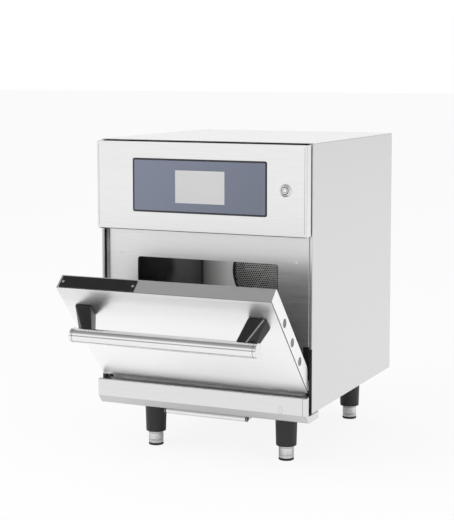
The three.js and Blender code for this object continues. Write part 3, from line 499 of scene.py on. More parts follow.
def wool():
    """Pressed mineral wool with long fibres."""
    finish = Finish("mineral_wool", (0.62, 0.54, 0.33), 0.95)
    fibres = finish.noise(scale=180, stretch=(1, 1, 5), detail=8.0)
    finish.vary_color(fibres, dark=0.6, light=1.15)
    finish.bump(fibres, distance=0.001, strength=1.0)
    return finish.material


stoneware = ceramic()
mineral_wool = wool()


def glossy_print(name, color, roughness, change=0.04, fade=None):
    """A print behind polished glass, with a faint haze, or with a painted reflection that fades along an axis."""
    finish = Finish(name, color, roughness)
    pattern = finish.along(*fade) if fade else finish.noise(scale=14, detail=3.0)
    finish.vary_color(pattern, 1 - change, 1 + change)
    finish.fill(finish.shader, Coat_Weight=1.0, Coat_Roughness=0.02, Specular_IOR_Level=0.0)
    return finish.material


# The field is painted lighter towards the left: a painted reflection.
FIELD_PAINTED_REFLECTION = ("X", 0.12, -0.1)
glass_field = glossy_print("glass_field", (0.158, 0.178, 0.238), 0.5, change=0.09, fade=FIELD_PAINTED_REFLECTION)
glass_border = glossy_print("glass_border", (0.02, 0.02, 0.024), 0.4)
glass_display = glossy_print("glass_display", 0.58, 0.5, change=0.02)


# Camera, light and floor

def make_camera():
    camera = bpy.data.cameras.new("camera")
    camera.sensor_width = SENSOR
    camera.lens = FOCAL_PIXELS * SENSOR / PHOTO_LONG_SIDE
    camera.shift_y = SHIFT_PIXELS / PHOTO_LONG_SIDE
    holder = bpy.data.objects.new("camera", camera)
    holder.location = CAMERA_AT
    holder.rotation_euler = (math.pi / 2 - CAMERA_DROP, 0, CAMERA_TURN)
    bpy.context.scene.collection.objects.link(holder)
    bpy.context.scene.camera = holder


WORLD_LIGHT = 0.74
# The height of a reflected direction and its brightness: white, with a dark line where the floor
# ends and a dim ceiling.
GLOSS_LEVELS = ((-0.035, 1.0), (-0.02, 0.5), (0.02, 0.5), (0.045, 1.0), (0.4, 1.0), (0.6, 0.45),
                (0.85, 0.29))
# Reflections are dimmer towards both ends of this level line, beside the oven.
DIM_LINE = (0.95, -0.3, 0)
DIM_FROM, DIM_TO = 0.8, 0.95
DIM_LEVEL = 0.3


def make_world():
    """White to the camera and in reflections, and a plain level of light on the object."""
    world = bpy.data.worlds.new("studio")
    bpy.context.scene.world = world
    world.use_nodes = True
    world.node_tree.nodes.clear()
    nodes = Nodes(world.node_tree)
    path = nodes.node("LightPath").outputs
    direction = nodes.node("TexCoord").outputs["Generated"]
    height = nodes.spread(nodes.fed("SeparateXYZ", direction).outputs["Z"], -1, 1, 0, 1)
    levels = nodes.fed("ValToRGB", height)
    stops = levels.color_ramp.elements
    for place, level in GLOSS_LEVELS:
        stops.new((place + 1) / 2).color = (*grey(level), 1)
    stops.remove(stops[0])
    stops.remove(stops[-1])
    beside = nodes.fed("VectorMath", direction, DIM_LINE, operation="DOT_PRODUCT").outputs["Value"]
    either_end = nodes.fed("Math", beside, operation="ABSOLUTE").outputs[0]
    strength = nodes.spread(either_end, DIM_FROM, DIM_TO, 1, DIM_LEVEL)
    light = nodes.fed("Background", WHITE, WORLD_LIGHT).outputs[0]
    gloss = nodes.fed("Background", levels.outputs["Color"], strength).outputs[0]
    shown = nodes.fed("Background", WHITE).outputs[0]
    seen = nodes.fed("Math", path["Is Camera Ray"], path["Is Transmission Ray"], operation="MAXIMUM")
    lighting = nodes.fed("MixShader", path["Is Glossy Ray"], light, gloss).outputs[0]
    whole = nodes.fed("MixShader", seen.outputs[0], lighting, shown).outputs[0]
    nodes.fed("OutputWorld", whole)


def make_lamp(name, place, size, energy, target=(0, 0, 0.3)):
    """A soft lamp that no reflection shows."""
    lamp = bpy.data.lights.new(name, "AREA")
    lamp.shape = "RECTANGLE"
    lamp.size, lamp.size_y = size
    lamp.energy = energy
    holder = bpy.data.objects.new(name, lamp)
    holder.location = place
    direction = Vector(target) - Vector(place)
    holder.rotation_euler = direction.to_track_quat("-Z", "Y").to_euler()
    holder.visible_glossy = False
    bpy.context.scene.collection.objects.link(holder)
    return holder


CAVITY_LAMP_SIZE = (0.2, 0.016)
CAVITY_LAMP_X = -0.03
CAVITY_LAMP_INSET = 0.012
CAVITY_LAMP_DROP = 0.034
CAVITY_LAMP_AIM = 0.1


def make_lamps():
    """Two soft lamps in the studio and a small one inside the doorway's upper edge."""
    make_lamp("key", place=(-2.2, -2.6, 2.6), size=(2.4, 2.4), energy=60)
    make_lamp("fill", place=(2.8, -1.6, 1.6), size=(1.8, 2.2), energy=24)
    low, high = span("cavity_box")
    lamp = make_lamp("cavity", (CAVITY_LAMP_X, low.y + CAVITY_LAMP_INSET, high.z - CAVITY_LAMP_DROP),
                     CAVITY_LAMP_SIZE, energy=0.4, target=(CAVITY_LAMP_X, high.y, high.z - CAVITY_LAMP_AIM))
    lamp.visible_glossy = True


FLOOR_SIZE = 40.0
FLOOR_DEPTH = 0.01
FLOOR_COLOR = (*grey(0.92), 1)
FLOOR_SHOWN = 0.86
FLOOR_GLOSS = 0.85
# The mirrored floor is darker below the oven, where its shadow lies.
UNDER_OVEN = (-0.02, 0.12, 0)
UNDER_FROM, UNDER_TO = 0.26, 0.34
UNDER_GLOSS = 0.0
# Grey strips, one in front and one below, give the handle its thin lines.
STRIPS = (((-1.2, 0.9), (-0.64, -0.63), (0.23, 0.31)), ((-0.6, 0.4), (-0.342, -0.318), (0.2, 0.201)))


def make_floor():
    """A pale floor whose shadow is faint, as in a bright studio."""
    side = (-FLOOR_SIZE, FLOOR_SIZE)
    floor = as_object(block(side, side, (-FLOOR_DEPTH, 0)), "floor")
    material = bpy.data.materials.new("floor")
    material.use_nodes = True
    material.node_tree.nodes.clear()
    nodes = Nodes(material.node_tree)
    path = nodes.node("LightPath").outputs
    seen = nodes.fed("Math", path["Is Camera Ray"], FLOOR_SHOWN, operation="MULTIPLY").outputs[0]
    at = nodes.node("NewGeometry").outputs["Position"]
    from_oven = nodes.fed("VectorMath", at, UNDER_OVEN, operation="DISTANCE").outputs["Value"]
    fade = nodes.spread(from_oven, UNDER_FROM, UNDER_TO, UNDER_GLOSS, FLOOR_GLOSS)
    share = nodes.fed("Math", path["Is Glossy Ray"], fade, seen, operation="MULTIPLY_ADD").outputs[0]
    shaded = nodes.fed("BsdfDiffuse", FLOOR_COLOR).outputs[0]
    white = nodes.node("Emission").outputs[0]
    nodes.fed("OutputMaterial", nodes.fed("MixShader", share, shaded, white).outputs[0])
    floor.data.materials.append(material)


def make_strips():
    """The grey strips, seen in reflections alone."""
    for place in STRIPS:
        strip = as_object(block(*place), "strip")
        strip.data.materials.append(strip_grey)
        for kind in ("camera", "diffuse", "transmission", "volume_scatter", "shadow"):
            setattr(strip, "visible_" + kind, False)


# Casing

PANEL_EDGE = 0.0004
# Black buffers on the side panels' front hems, and a thin strip above each.
BUFFER_INSET = 0.0003
BUFFER_WIDTH = 0.005
BUFFER_PROUD = 0.001
BUFFER_HEIGHT = 0.125
HEM_INSET = 0.0013
HEM_WIDTH = 0.0053
HEM_PROUD = 0.0005
HEM_END = 0.002
# The front frame's lips stand beyond its two ends.
LIP_START = 0.0002
LIP_END = 0.0064
LIP_RECESS = 0.0006
LIP_DEPTH = 0.004
# The name of each guard at a hinge, how far in it reaches, its lower and its upper end.
GUARDS = (("guard", 0.0125, 0.06, 0.125), ("foot", 0.007, 0.03, 0.0405))
GUARD_INSET = 0.0004
GUARD_PROUD = 0.001
SILL_INSET = 0.013
SILL_PROUD = 0.0005
SILL_START = 0.029
SILL_END = 0.0325


def make_hem_trims(side, sign):
    """The buffer and the strip on one side panel's front hem."""
    low, high = span(side + "_side_panel")
    edge = low.x if sign < 0 else high.x
    buffer_top = low.z + BUFFER_HEIGHT
    buffer = block((edge - sign * BUFFER_INSET, edge - sign * (BUFFER_INSET + BUFFER_WIDTH)),
                   (low.y - BUFFER_PROUD, low.y), (low.z + BUFFER_INSET, buffer_top))
    add_piece("hem_buffer_" + side, softened(buffer), black_plastic)
    strip = block((edge - sign * HEM_INSET, edge - sign * HEM_WIDTH), (low.y - HEM_PROUD, low.y),
                  (buffer_top + BUFFER_INSET + GAP, span("control_panel")[0].z - HEM_END))
    # The left strip is painted darker than the right one as shade.
    add_piece("hem_strip_" + side, softened(strip, THIN_EDGE),
              frame_steel if side == "right" else inner_steel)


def make_frame_trims(side, sign):
    """The lip at one end of the front frame and the guards at its hinge."""
    low, high = span("front_frame")
    outer = low.x if sign < 0 else high.x
    recess = low.y + LIP_RECESS
    lip = block((outer + sign * LIP_START, outer + sign * LIP_END), (recess, recess + LIP_DEPTH),
                (low.z, high.z))
    # The lip is pale grey, lighter than the frame's steel: painted light in the shaded gap beside the hem.
    add_piece("frame_lip_" + side, softened(lip), strip_grey)
    for part, width, start, end in GUARDS:
        guard = block((outer - sign * GUARD_INSET, outer - sign * width), (low.y - GUARD_PROUD, low.y),
                      (low.z + start, low.z + end))
        add_piece(f"hinge_{part}_{side}", softened(guard), black_plastic)


def make_casing():
    """The casing's panels and their trims."""
    dress("right_side_panel", side_steel, PANEL_EDGE)
    dress("left_side_panel", side_steel, PANEL_EDGE)
    dress("top_cover", top_steel, PANEL_EDGE)
    dress("rear_panel", side_steel)
    dress("base_plate", inner_steel)
    dress("front_frame", frame_steel)
    for make_trims in (make_hem_trims, make_frame_trims):
        for side, sign in SIDES:
            make_trims(side, sign)
    low, high = span("front_frame")
    # A pale seal strip along the frame below the door; its pale colour is also a painted highlight along that
    # edge.
    sill = block((low.x + SILL_INSET, high.x - SILL_INSET), (low.y - SILL_PROUD, low.y),
                 (low.z + SILL_START, low.z + SILL_END))
    add_piece("door_sill", softened(sill, THIN_EDGE), pale_plastic)


# Control fascia

FASCIA_SHEET = 0.0015
FASCIA_BEND = 0.0045
FASCIA_DEPTH = 0.0195
FASCIA_LIP = 0.004
FASCIA_EDGE = 0.0005
SEAL_DEPTH = 0.0016
SEAL_EDGE = 0.0002
GLASS_FIT = 0.0005
GLASS_ROUND = 0.0035
BUTTON_HOLE_INSET = 0.0011
CUT_OVERRUN = 0.01
END_STRIP = 0.0052
END_LINE = 0.0006
END_PROUD = 0.0001


def make_fascia():
    """A bent fascia with a short lip above, a deep flange below, and two openings."""
    low, high = span("control_panel")
    glass_low, glass_high = span("touch_glass")
    bezel_low, bezel_high = span("power_button_bezel")
    returns = low.y + FASCIA_DEPTH
    outer, inner = bent_sheet([(low.x, returns), (low.x, low.y), (high.x, low.y), (high.x, returns)],
                              FASCIA_SHEET, FASCIA_BEND)
    across = (low.x + FASCIA_BEND, high.x - FASCIA_BEND)
    within = low.y + FASCIA_SHEET / 2
    lip = block(across, (within, low.y + FASCIA_LIP), (high.z - FASCIA_SHEET, high.z))
    flange = block(across, (within, high.y), (low.z, low.z + FASCIA_SHEET))
    shell = combined(prism("z", low.z, high.z, outer + inner[::-1]), lip, flange, operation="UNION")
    through = (low.y - CUT_OVERRUN, low.y + CUT_OVERRUN)
    glass_hole = prism("y", *through, rounded_rectangle(
        (glass_low.x - GLASS_FIT, glass_low.z - GLASS_FIT),
        (glass_high.x + GLASS_FIT, glass_high.z + GLASS_FIT), GLASS_ROUND + GLASS_FIT))
    centre = middle(bezel_low, bezel_high)
    button_hole = prism("y", *through, circle((centre.x, centre.z),
                                              (bezel_high.x - bezel_low.x) / 2 - BUTTON_HOLE_INSET))
    mesh = softened(combined(shell, glass_hole, button_hole), FASCIA_EDGE)
    stand_in("fascia", mesh, casing_steel, "control_panel")
    # A dull line near each end, where the bend begins, is painted shade.
    for side, x in (("left", low.x + END_STRIP), ("right", high.x - END_STRIP)):
        line = block((x - END_LINE / 2, x + END_LINE / 2), (low.y - END_PROUD, low.y),
                     (low.z + END_STRIP, high.z - END_STRIP))
        add_piece("fascia_bend_shade_" + side, line, dull_steel)
    seal = block(across, (low.y + FASCIA_SHEET, high.y), (low.z - SEAL_DEPTH, low.z - GAP / 2))
    add_piece("fascia_seal", softened(seal, SEAL_EDGE), silicone)


def make_top_seal():
    """A seal from the fascia's lip back to the front frame and up to the top cover."""
    low, high = span("control_panel")
    frame_low, frame_high = span("front_frame")
    cover = span("top_cover")[0].z - GAP
    upper, front = high.z - FASCIA_SHEET, low.y + FASCIA_LIP + GAP
    lower, upstand = upper - FASCIA_SHEET, high.y - FASCIA_SHEET
    seal = prism("x", frame_low.x, frame_high.x, [
        (front, lower), (high.y, lower), (high.y, cover), (upstand, cover), (upstand, upper),
        (front, upper)])
    add_piece("fascia_top_seal", softened(seal, SEAL_EDGE), silicone)


GLASS_BORDER = 0.0032
GLASS_STEP = 0.0003
GLASS_STEPS = 6
LEAST_GLASS_ROUND = 0.0008
ROUND_LOSS_SHARE = 0.7
DISPLAY_SIZE = (0.1052, 0.0637)
DISPLAY_CENTRE_X = 0.0024
DISPLAY_CENTRE_RISE = -0.0011
DISPLAY_ROUND = 0.0006


def make_glass():
    """One pane with a dark border, a tinted field with a painted reflection and a lit display area."""
    low, high = span("touch_glass")
    mesh = bmesh.new()
    centre = middle(low, high)

    def ring(outline, y):
        return [mesh.verts.new((x, y, z)) for x, z in outline]

    def pane(inset):
        return rounded_rectangle((low.x + inset, low.z + inset), (high.x - inset, high.z - inset),
                                 max(GLASS_ROUND - inset * ROUND_LOSS_SHARE, LEAST_GLASS_ROUND),
                                 GLASS_STEPS)

    back = ring(pane(0), high.y)
    side = ring(pane(0), low.y + GLASS_STEP)
    edge = ring(pane(GLASS_STEP), low.y)
    inner = ring(pane(GLASS_BORDER), low.y)
    x, z = centre.x + DISPLAY_CENTRE_X, centre.z + DISPLAY_CENTRE_RISE
    half_x, half_z = (size / 2 for size in DISPLAY_SIZE)
    window = ring(rounded_rectangle((x - half_x, z - half_z), (x + half_x, z + half_z), DISPLAY_ROUND,
                                    GLASS_STEPS), low.y)
    mesh.faces.new(back)
    for first, second, material in ((back, side, 0), (side, edge, 0), (edge, inner, 0),
                                    (inner, window, 1)):
        bridged(mesh, first, second, material)
    mesh.faces.new(window).material_index = 2
    bmesh.ops.recalc_face_normals(mesh, faces=mesh.faces)
    stand_in("glass_pane", mesh, (glass_border, glass_field, glass_display), "touch_glass")


# Push-button. A table's points are a distance and a depth or a height.
BARREL_INSET = 0.0014
BEZEL_FLOOR = 0.0023
BORE_CHAMFER = (0.0005, 0.0006)
DARK_BORE = 0.0006
RING_RADIUS = 0.0095
RING_EDGE = 0.0008
FLANGE_FROM_RING = ((0.0001, 0.0021), (0.0006, 0.0023))
FLANGE_FROM_RIM = ((0.001, 0.0019), (0, 0.0011), (0, GAP))
GROOVE_SHARE = 0.5
DISH_SHARES = ((0, 0.0006), (0.6, 0.0004), (1, 0.0003))
GROOVE_FROM_DISH = ((0.0002, 0.0009), (0.0007, 0.0009), (0.0009, 0.0001))
CAP_FROM_RIM = ((0.0008, 0), (0.0002, 0.0003), (0, 0.0009))


def make_button():
    """A flanged push-button: a chamfered bezel round a dished cap with a ring groove."""
    low, high = span("power_button_bezel")
    cap_low, cap_high = span("power_button")
    centre = middle(low, high)
    place = (centre.x, centre.z)
    panel_front = span("control_panel")[0].y
    flange = (high.x - low.x) / 2
    barrel = flange - BARREL_INSET
    radius = (cap_high.x - cap_low.x) / 2
    bore = radius + GAP
    groove = radius * GROOVE_SHARE
    floor = cap_high.y + BEZEL_FLOOR

    # Rings painted dark as shade: on the bore's chamfer, in the cap's groove and in the gap round the cap.
    def with_painted_shade_rings(mesh, *rings):
        def in_painted_shade(face):
            at = face.calc_center_median()
            reach = math.hypot(at.x - centre.x, at.z - centre.z)
            return any(start < reach < end for start, end in rings)
        return set_apart(mesh, in_painted_shade)

    bezel = turned("y", place, [
        (0, floor), (bore, floor), (bore, low.y + BORE_CHAMFER[1]), (bore + BORE_CHAMFER[0], low.y),
        (RING_RADIUS - RING_EDGE, low.y), (RING_RADIUS, low.y + RING_EDGE),
        *((RING_RADIUS + out, panel_front - rise) for out, rise in FLANGE_FROM_RING),
        *((flange - inset, panel_front - rise) for inset, rise in FLANGE_FROM_RIM),
        (barrel, panel_front - GAP), (barrel, high.y), (0, high.y)])
    stand_in("button_bezel", with_painted_shade_rings(bezel, (bore, bore + DARK_BORE)),
             (bezel_steel, dark_steel), "power_button_bezel")
    cap = turned("y", place, [
        *((groove * share, cap_low.y + depth) for share, depth in DISH_SHARES),
        *((groove + out, cap_low.y + depth) for out, depth in GROOVE_FROM_DISH),
        *((radius - inset, cap_low.y + depth) for inset, depth in CAP_FROM_RIM),
        (radius, cap_high.y), (0, cap_high.y)])
    cap = with_painted_shade_rings(cap, (groove, groove + GROOVE_FROM_DISH[-1][0]),
                          (radius - CAP_FROM_RIM[0][0], radius + GAP))
    stand_in("button_cap", cap, (casing_steel, dark_steel), "power_button")


# Cavity

HOLE_PITCH = 0.0048
HOLE_RADIUS = 0.00212
HOLE_CORNERS = 12
HEXAGON = 6
GRILLE_RIM = 0.0035
GRILLE_MERGE = 1e-5


def make_grille():
    """A disc perforated in a fine staggered pattern, each hole in its own hexagon, with painted shade in the holes
    and round the rim.
    """
    low, high = span("fan_grille")
    centre = middle(low, high)
    radius = (high.x - low.x) / 2
    mesh = bmesh.new()
    row_pitch = HOLE_PITCH * math.sqrt(3) / 2
    reach = radius - GRILLE_RIM
    corner_radius = HOLE_PITCH / math.sqrt(3)
    corners = circle((0, 0), corner_radius, HEXAGON, first=0.5)
    sides = circle((0, 0), HOLE_PITCH / 2, HEXAGON, first=1)
    hexagon = [point for pair in zip(corners, sides) for point in pair]
    hole = circle((0, 0), HOLE_RADIUS, HOLE_CORNERS, first=1)

    def ring(outline, x, y, z):
        return [mesh.verts.new((centre.x + x + u, y, centre.z + z + v)) for u, v in outline]

    rows = int(reach / row_pitch) + 1
    columns = int(reach / HOLE_PITCH) + 1
    for row in range(-rows, rows + 1):
        for column in range(-columns, columns + 1):
            z = row * row_pitch
            x = (column + row % 2 / 2) * HOLE_PITCH
            if math.hypot(x, z) > reach - corner_radius:
                continue
            outer, inner = ring(hexagon, x, low.y, z), ring(hole, x, low.y, z)
            bridged(mesh, outer, inner)
            # The holes' walls are painted dark as shade.
            bridged(mesh, inner, ring(hole, x, high.y, z), 1)
    bmesh.ops.remove_doubles(mesh, verts=mesh.verts, dist=GRILLE_MERGE)
    border = [edge for edge in mesh.edges if len(edge.link_faces) == 1
              and all(vert.co.y < low.y + TINY for vert in edge.verts)]
    rim = ring(circle((0, 0), radius), 0, low.y, 0)
    rim_edges = [mesh.edges.new(ends) for ends in zip(rim, rim[1:] + rim[:1])]
    # The band between the holes and the rim is painted dark as shade.
    filled = bmesh.ops.triangle_fill(mesh, edges=border + rim_edges, use_beauty=True)
    for face in filled["geom"]:
        if isinstance(face, bmesh.types.BMFace):
            face.material_index = 1
    bridged(mesh, rim, ring(circle((0, 0), radius), 0, high.y, 0))
    bmesh.ops.recalc_face_normals(mesh, faces=mesh.faces)
    stand_in("perforated_grille", mesh, (grille_steel, dark_steel), "fan_grille")


CAVITY_HALF = 0.15
BACK_FACING = 0.9
BACK_REACH = 0.01
CORNER_SHADE_DEPTH = 0.009
CORNER_PROUD = 0.0008
CORNER_MARGIN = 0.003
COOK_PLATE_EDGE = 0.0012


def make_cavity():
    """The cavity's box in very dark steel painted as shade and lighter towards the back, its back wall in a
    lighter steel painted darker towards its left corner, with the grille and the cook plate.
    """
    low, high = span("cavity_box")
    grille_low, grille_high = span("fan_grille")
    # The back wall's faces get the lighter steel; both steels carry painted shade.
    mesh = set_apart(softened(node_mesh("cavity_box")), lambda face: (
        face.normal.y < -BACK_FACING and abs(face.calc_center_median().y - grille_low.y) < BACK_REACH))
    stand_in("cavity_walls", mesh, (cavity_steel, cavity_back_steel), "cavity_box")
    # Black strips in the back corners are painted shade.
    for side, sign in SIDES:
        seam = block((sign * CAVITY_HALF, sign * (CAVITY_HALF - CORNER_PROUD)),
                     (grille_high.y - CORNER_SHADE_DEPTH, grille_high.y),
                     (low.z + CORNER_MARGIN, high.z - CORNER_MARGIN))
        add_piece("cavity_corner_shade_" + side, seam, black_plastic)
    dress("cook_plate", stoneware, COOK_PLATE_EDGE, 3)
    make_grille()


# Door

SKIN_EDGE = 0.0005
SKIN_AND_SEAM = 0.002
INNER_FACING = 0.7
STRIP_PROUD = 0.0001
STRIP_START = 0.0006
STRIP_STOP = 0.0034
STRIP_END = 0.0005
PLUG_RADIUS = 0.0083
PLUG_PLACES = (0.0775, 0.13345, 0.1894)
PLUG_INSET = 0.0007
PLUG_LENGTH = 0.003
# Points of a plug's face: the distance in from its rim and the depth.
PLUG_FROM_RIM = ((0.0012, 0), (0.0008, 0.0003), (0.0004, 0), (0, 0.0004))


def make_door():
    """The door's pieces, with a plug in each round hole of its side walls."""
    dress("door_skin", door_steel, SKIN_EDGE)
    low, high = closed_span("door_body")
    inwards = OPEN_DOOR.to_3x3() @ Vector((0, 1, 0))
    mesh = set_apart(softened(node_mesh("door_body")), lambda face: face.normal.dot(inwards) > INNER_FACING)
    stand_in("door_body_shape", mesh, (door_steel, choke_steel), "door_body")
    dress("door_choke", choke_steel)
    dress("door_gasket", silicone, SKIN_EDGE)
    dress("hinge_arm_right", inner_steel)
    dress("hinge_arm_left", inner_steel)
    front = low.y - SKIN_AND_SEAM
    ends = (("left", low.x, 1), ("right", high.x, -1))
    for side, edge, _ in ends:
        strip = block((edge - STRIP_PROUD, edge + STRIP_PROUD), (front + STRIP_START, front + STRIP_STOP),
                      (low.z + STRIP_END, high.z - STRIP_END))
        add_piece("door_strip_" + side, strip, black_plastic, "door", place=OPEN_DOOR)
    for side, edge, inward in ends:
        face = edge + inward * PLUG_INSET
        end = face + inward * PLUG_LENGTH
        profile = [(0, face), *((PLUG_RADIUS - inset, face + inward * depth)
                                for inset, depth in PLUG_FROM_RIM), (PLUG_RADIUS, end), (0, end)]
        for i, rise in enumerate(PLUG_PLACES):
            plug = turned("x", ((front + high.y) / 2, low.z + rise), profile, MEDIUM_ROUND_STEPS)
            add_piece(f"door_plug_{side}_{i + 1}", plug, dull_steel, "door",
                      place=OPEN_DOOR)


# The brackets: a foot on the door and a narrower tip, with a ridge that runs between them.
FOOT_WIDTH = 0.036
FOOT_BELOW = 0.003
FOOT_RIDGE = 0.003
TIP_STEP = 0.0185
TIP_WIDTH = 0.032
TIP_BELOW = 0.012
TIP_ABOVE = 0.0125
TIP_INSET = 0.006
TIP_RIDGE = 0.0118
TIP_SHOULDER = 0.003
RIDGE_ROUND = 0.0015
RIDGE_SHARP = math.radians(18)
# Faces turned this way on the right bracket get the painted highlight.
RIDGE_HIGHLIGHT_NORMAL = Vector((0.25, -0.51, 0.82)).normalized()
RIDGE_HIGHLIGHT_FACING = 0.975


def bracket_mesh(side):
    """A tapered block in the closed door's place, its outer side slanted, cut to the tube's round."""
    low, high = closed_span("handle_bracket_" + side)
    bar_low, bar_high = closed_span("handle_bar")
    bar = middle(bar_low, bar_high)
    outer, inward = (low.x, 1) if side == "left" else (high.x, -1)

    def section(edge, width, ridge, shoulder, bottom, top, y):
        points = ((width, bottom), (0, bottom), (0, shoulder), (ridge, top), (width, top))
        return [(edge + inward * across, y, z) for across, z in points]

    foot = section(outer, FOOT_WIDTH, FOOT_RIDGE, high.z - FOOT_RIDGE, bar.z - FOOT_BELOW, high.z, high.y)
    tip = section(outer + inward * TIP_STEP, TIP_WIDTH, TIP_RIDGE, bar.z - TIP_SHOULDER,
                  bar.z - TIP_BELOW, bar.z + TIP_ABOVE, bar.y + TIP_INSET)
    mesh = bmesh.new()
    for corner in foot + tip:
        mesh.verts.new(corner)
    bmesh.ops.convex_hull(mesh, input=mesh.verts)
    softened(tidy(mesh), RIDGE_ROUND, 1, RIDGE_SHARP)
    radius = (bar_high.z - bar_low.z) / 2 + GAP
    return combined(mesh, turned("x", (bar.y, bar.z), [(0, bar_low.x), (radius, bar_low.x),
                                                      (radius, bar_high.x), (0, bar_high.x)]))


TUBE_PLAY = 0.00008
CAP_DEPTH = 0.0004
CAP_STEP = (0.72, 0.0002)
# Points of an end cap's edge: the distance in from its rim and the depth.
CAP_EDGE = ((0.0022, 0), (0.0008, 0.0004), (0.0002, 0.0012), (0, 0.0024))
CAP_LENGTH = 0.006
CAP_SEAM = 0.0005


def make_handle():
    """A polished tube with pressed-in end caps, on two tapered brackets, the right one with a painted highlight on
    its ridge.
    """
    low, high = closed_span("handle_bar")
    centre = middle(low, high)
    radius = (high.z - low.z) / 2 - TUBE_PLAY
    profile = [
        (0, low.x + CAP_DEPTH), (radius * CAP_STEP[0], low.x + CAP_STEP[1]),
        *((radius - inset, low.x + depth) for inset, depth in CAP_EDGE),
        (radius, low.x + CAP_LENGTH), (radius - CAP_SEAM, low.x + CAP_LENGTH + CAP_SEAM),
        (radius, low.x + CAP_LENGTH + CAP_SEAM * 2)]
    mirrored = [(r, low.x + high.x - along) for r, along in profile[::-1]]
    seam_end = high.x - centre.x - CAP_LENGTH
    bar = set_apart(turned("x", (centre.y, centre.z), profile + mirrored), lambda face: (
        seam_end - CAP_SEAM * 2 < abs(face.calc_center_median().x - centre.x) < seam_end))
    stand_in("handle_tube", bar, (handle_steel, dull_steel), "handle_bar", OPEN_DOOR)
    for side, _ in SIDES:
        mesh = bracket_mesh(side)
        # The painted highlight goes on the right bracket's ridge alone.
        if side == "right":
            set_apart(mesh, lambda face: face.normal.dot(RIDGE_HIGHLIGHT_NORMAL) > RIDGE_HIGHLIGHT_FACING)
        node = "handle_bracket_" + side
        stand_in(node + "_shape", mesh, (bracket_black, bracket_ridge_highlight), node, OPEN_DOOR)


PLATE_THICKNESS = 0.0009
PLATE_ROUND = 0.0015
PLATE_ROUND_STEPS = 4
PLATE_EDGE = 0.0002
RIVET_INSET = 0.0052
RIVET_RADIUS = 0.0028
RIVET_RISE_SHARE = 0.4
RIVET_SINK = 0.0002
DOME_STEPS = 8


def make_door_plate():
    """A blank coated plate on the door's top edge, held by two domed rivets."""
    low, high = closed_span("door_plate")
    top = low.z + PLATE_THICKNESS
    mesh = prism("z", low.z, top, rounded_rectangle((low.x, low.y), (high.x, high.y), PLATE_ROUND,
                                                    PLATE_ROUND_STEPS))
    stand_in("blank_plate", softened(mesh, PLATE_EDGE), plate_black, "door_plate", OPEN_DOOR)
    dome = [(RIVET_RADIUS * math.sin(a), top + RIVET_RADIUS * RIVET_RISE_SHARE * math.cos(a))
            for a in (math.pi / 2 * i / DOME_STEPS for i in range(DOME_STEPS + 1))]
    under = [(RIVET_RADIUS, top - RIVET_SINK), (0, top - RIVET_SINK)]
    for side, x in (("left", low.x + RIVET_INSET), ("right", high.x - RIVET_INSET)):
        rivet = turned("z", (x, (low.y + high.y) / 2), dome + under, SMALL_ROUND_STEPS)
        add_piece("plate_rivet_" + side, rivet, polished_steel, "door",
                  place=OPEN_DOOR)


# Tray and filter

TRAY_HEM = 0.011
TRAY_CREASE = 0.017
TRAY_CREASE_DEPTH = 0.014
TRAY_ROUNDS = (0.0016, 0.0012, 0.007)
TRAY_SHEET = 0.0012
TRAY_EDGE = 0.0004
TRAY_WALL_DEPTH = 0.014
TRAY_FLANGE_DROP = 0.0034
TRAY_FLANGE_START = 0.024
TRAY_FLANGE_WIDTH = 0.013
UNDER_FACING = 0.3
SEAM_INSET = 0.0075
SEAM_WIDTH = 0.0008
SEAM_PROUD = 0.0001
SEAM_END = 0.002
TAB_X = 0.172
TAB_WIDTH = 0.008
TAB_HEIGHT = 0.0135
TAB_PROUD = 0.00015
TAB_ROUND = 0.0032
TAB_RIM = 0.0012


def make_tray_marks():
    """A thin seam near the tray's right end and a pressed tab whose rim is painted darker as shade."""
    low, high = span("drip_tray")
    seam_x = high.x - SEAM_INSET
    crease = low.z + TRAY_CREASE
    seam = block((seam_x - SEAM_WIDTH / 2, seam_x + SEAM_WIDTH / 2), (low.y - SEAM_PROUD, low.y),
                 (crease, high.z - SEAM_END))
    add_piece("tray_seam", seam, dull_steel, "crumb_tray")
    left, right = TAB_X - TAB_WIDTH / 2, TAB_X + TAB_WIDTH / 2
    tab = prism("y", low.y - TAB_PROUD, low.y, rounded_rectangle(
        (left, crease + TAB_PROUD), (right, crease + TAB_HEIGHT), TAB_ROUND))
    front = min(tab.faces, key=lambda face: face.calc_center_median().y)
    for face in bmesh.ops.inset_region(tab, faces=[front], thickness=TAB_RIM)["faces"]:
        face.material_index = 1
    add_piece("tray_tab", tab, (tray_steel, tray_shaded_steel), "crumb_tray")


def make_tray():
    """The crumb tray: a creased front with a slanted lower face, side walls and hanging flanges."""
    low, high = span("drip_tray")
    flange_top = CASING_BOTTOM - TRAY_FLANGE_DROP
    outer, inner = bent_sheet(
        [(low.y + TRAY_HEM, high.z), (low.y, high.z), (low.y, low.z + TRAY_CREASE),
         (low.y + TRAY_CREASE_DEPTH, low.z), (high.y, low.z)], TRAY_SHEET, TRAY_ROUNDS)
    wall_back = low.y + TRAY_WALL_DEPTH
    wall = outer + [(high.y, flange_top), (wall_back, flange_top), (wall_back, high.z)]
    flange = ((low.y + TRAY_FLANGE_START, high.y), (flange_top - TRAY_SHEET, flange_top))
    mesh = combined(
        prism("x", low.x, high.x, outer + inner[::-1]),
        prism("x", low.x, low.x + TRAY_SHEET, wall),
        prism("x", high.x - TRAY_SHEET, high.x, wall),
        block((low.x, low.x + TRAY_FLANGE_WIDTH), *flange),
        block((high.x - TRAY_FLANGE_WIDTH, high.x), *flange), operation="UNION")
    # Faces that look down are painted darker as shade.
    set_apart(softened(mesh, TRAY_EDGE), lambda face: face.normal.z < -UNDER_FACING)
    stand_in("crumb_tray_pan", mesh, (tray_steel, tray_shaded_steel), "drip_tray")


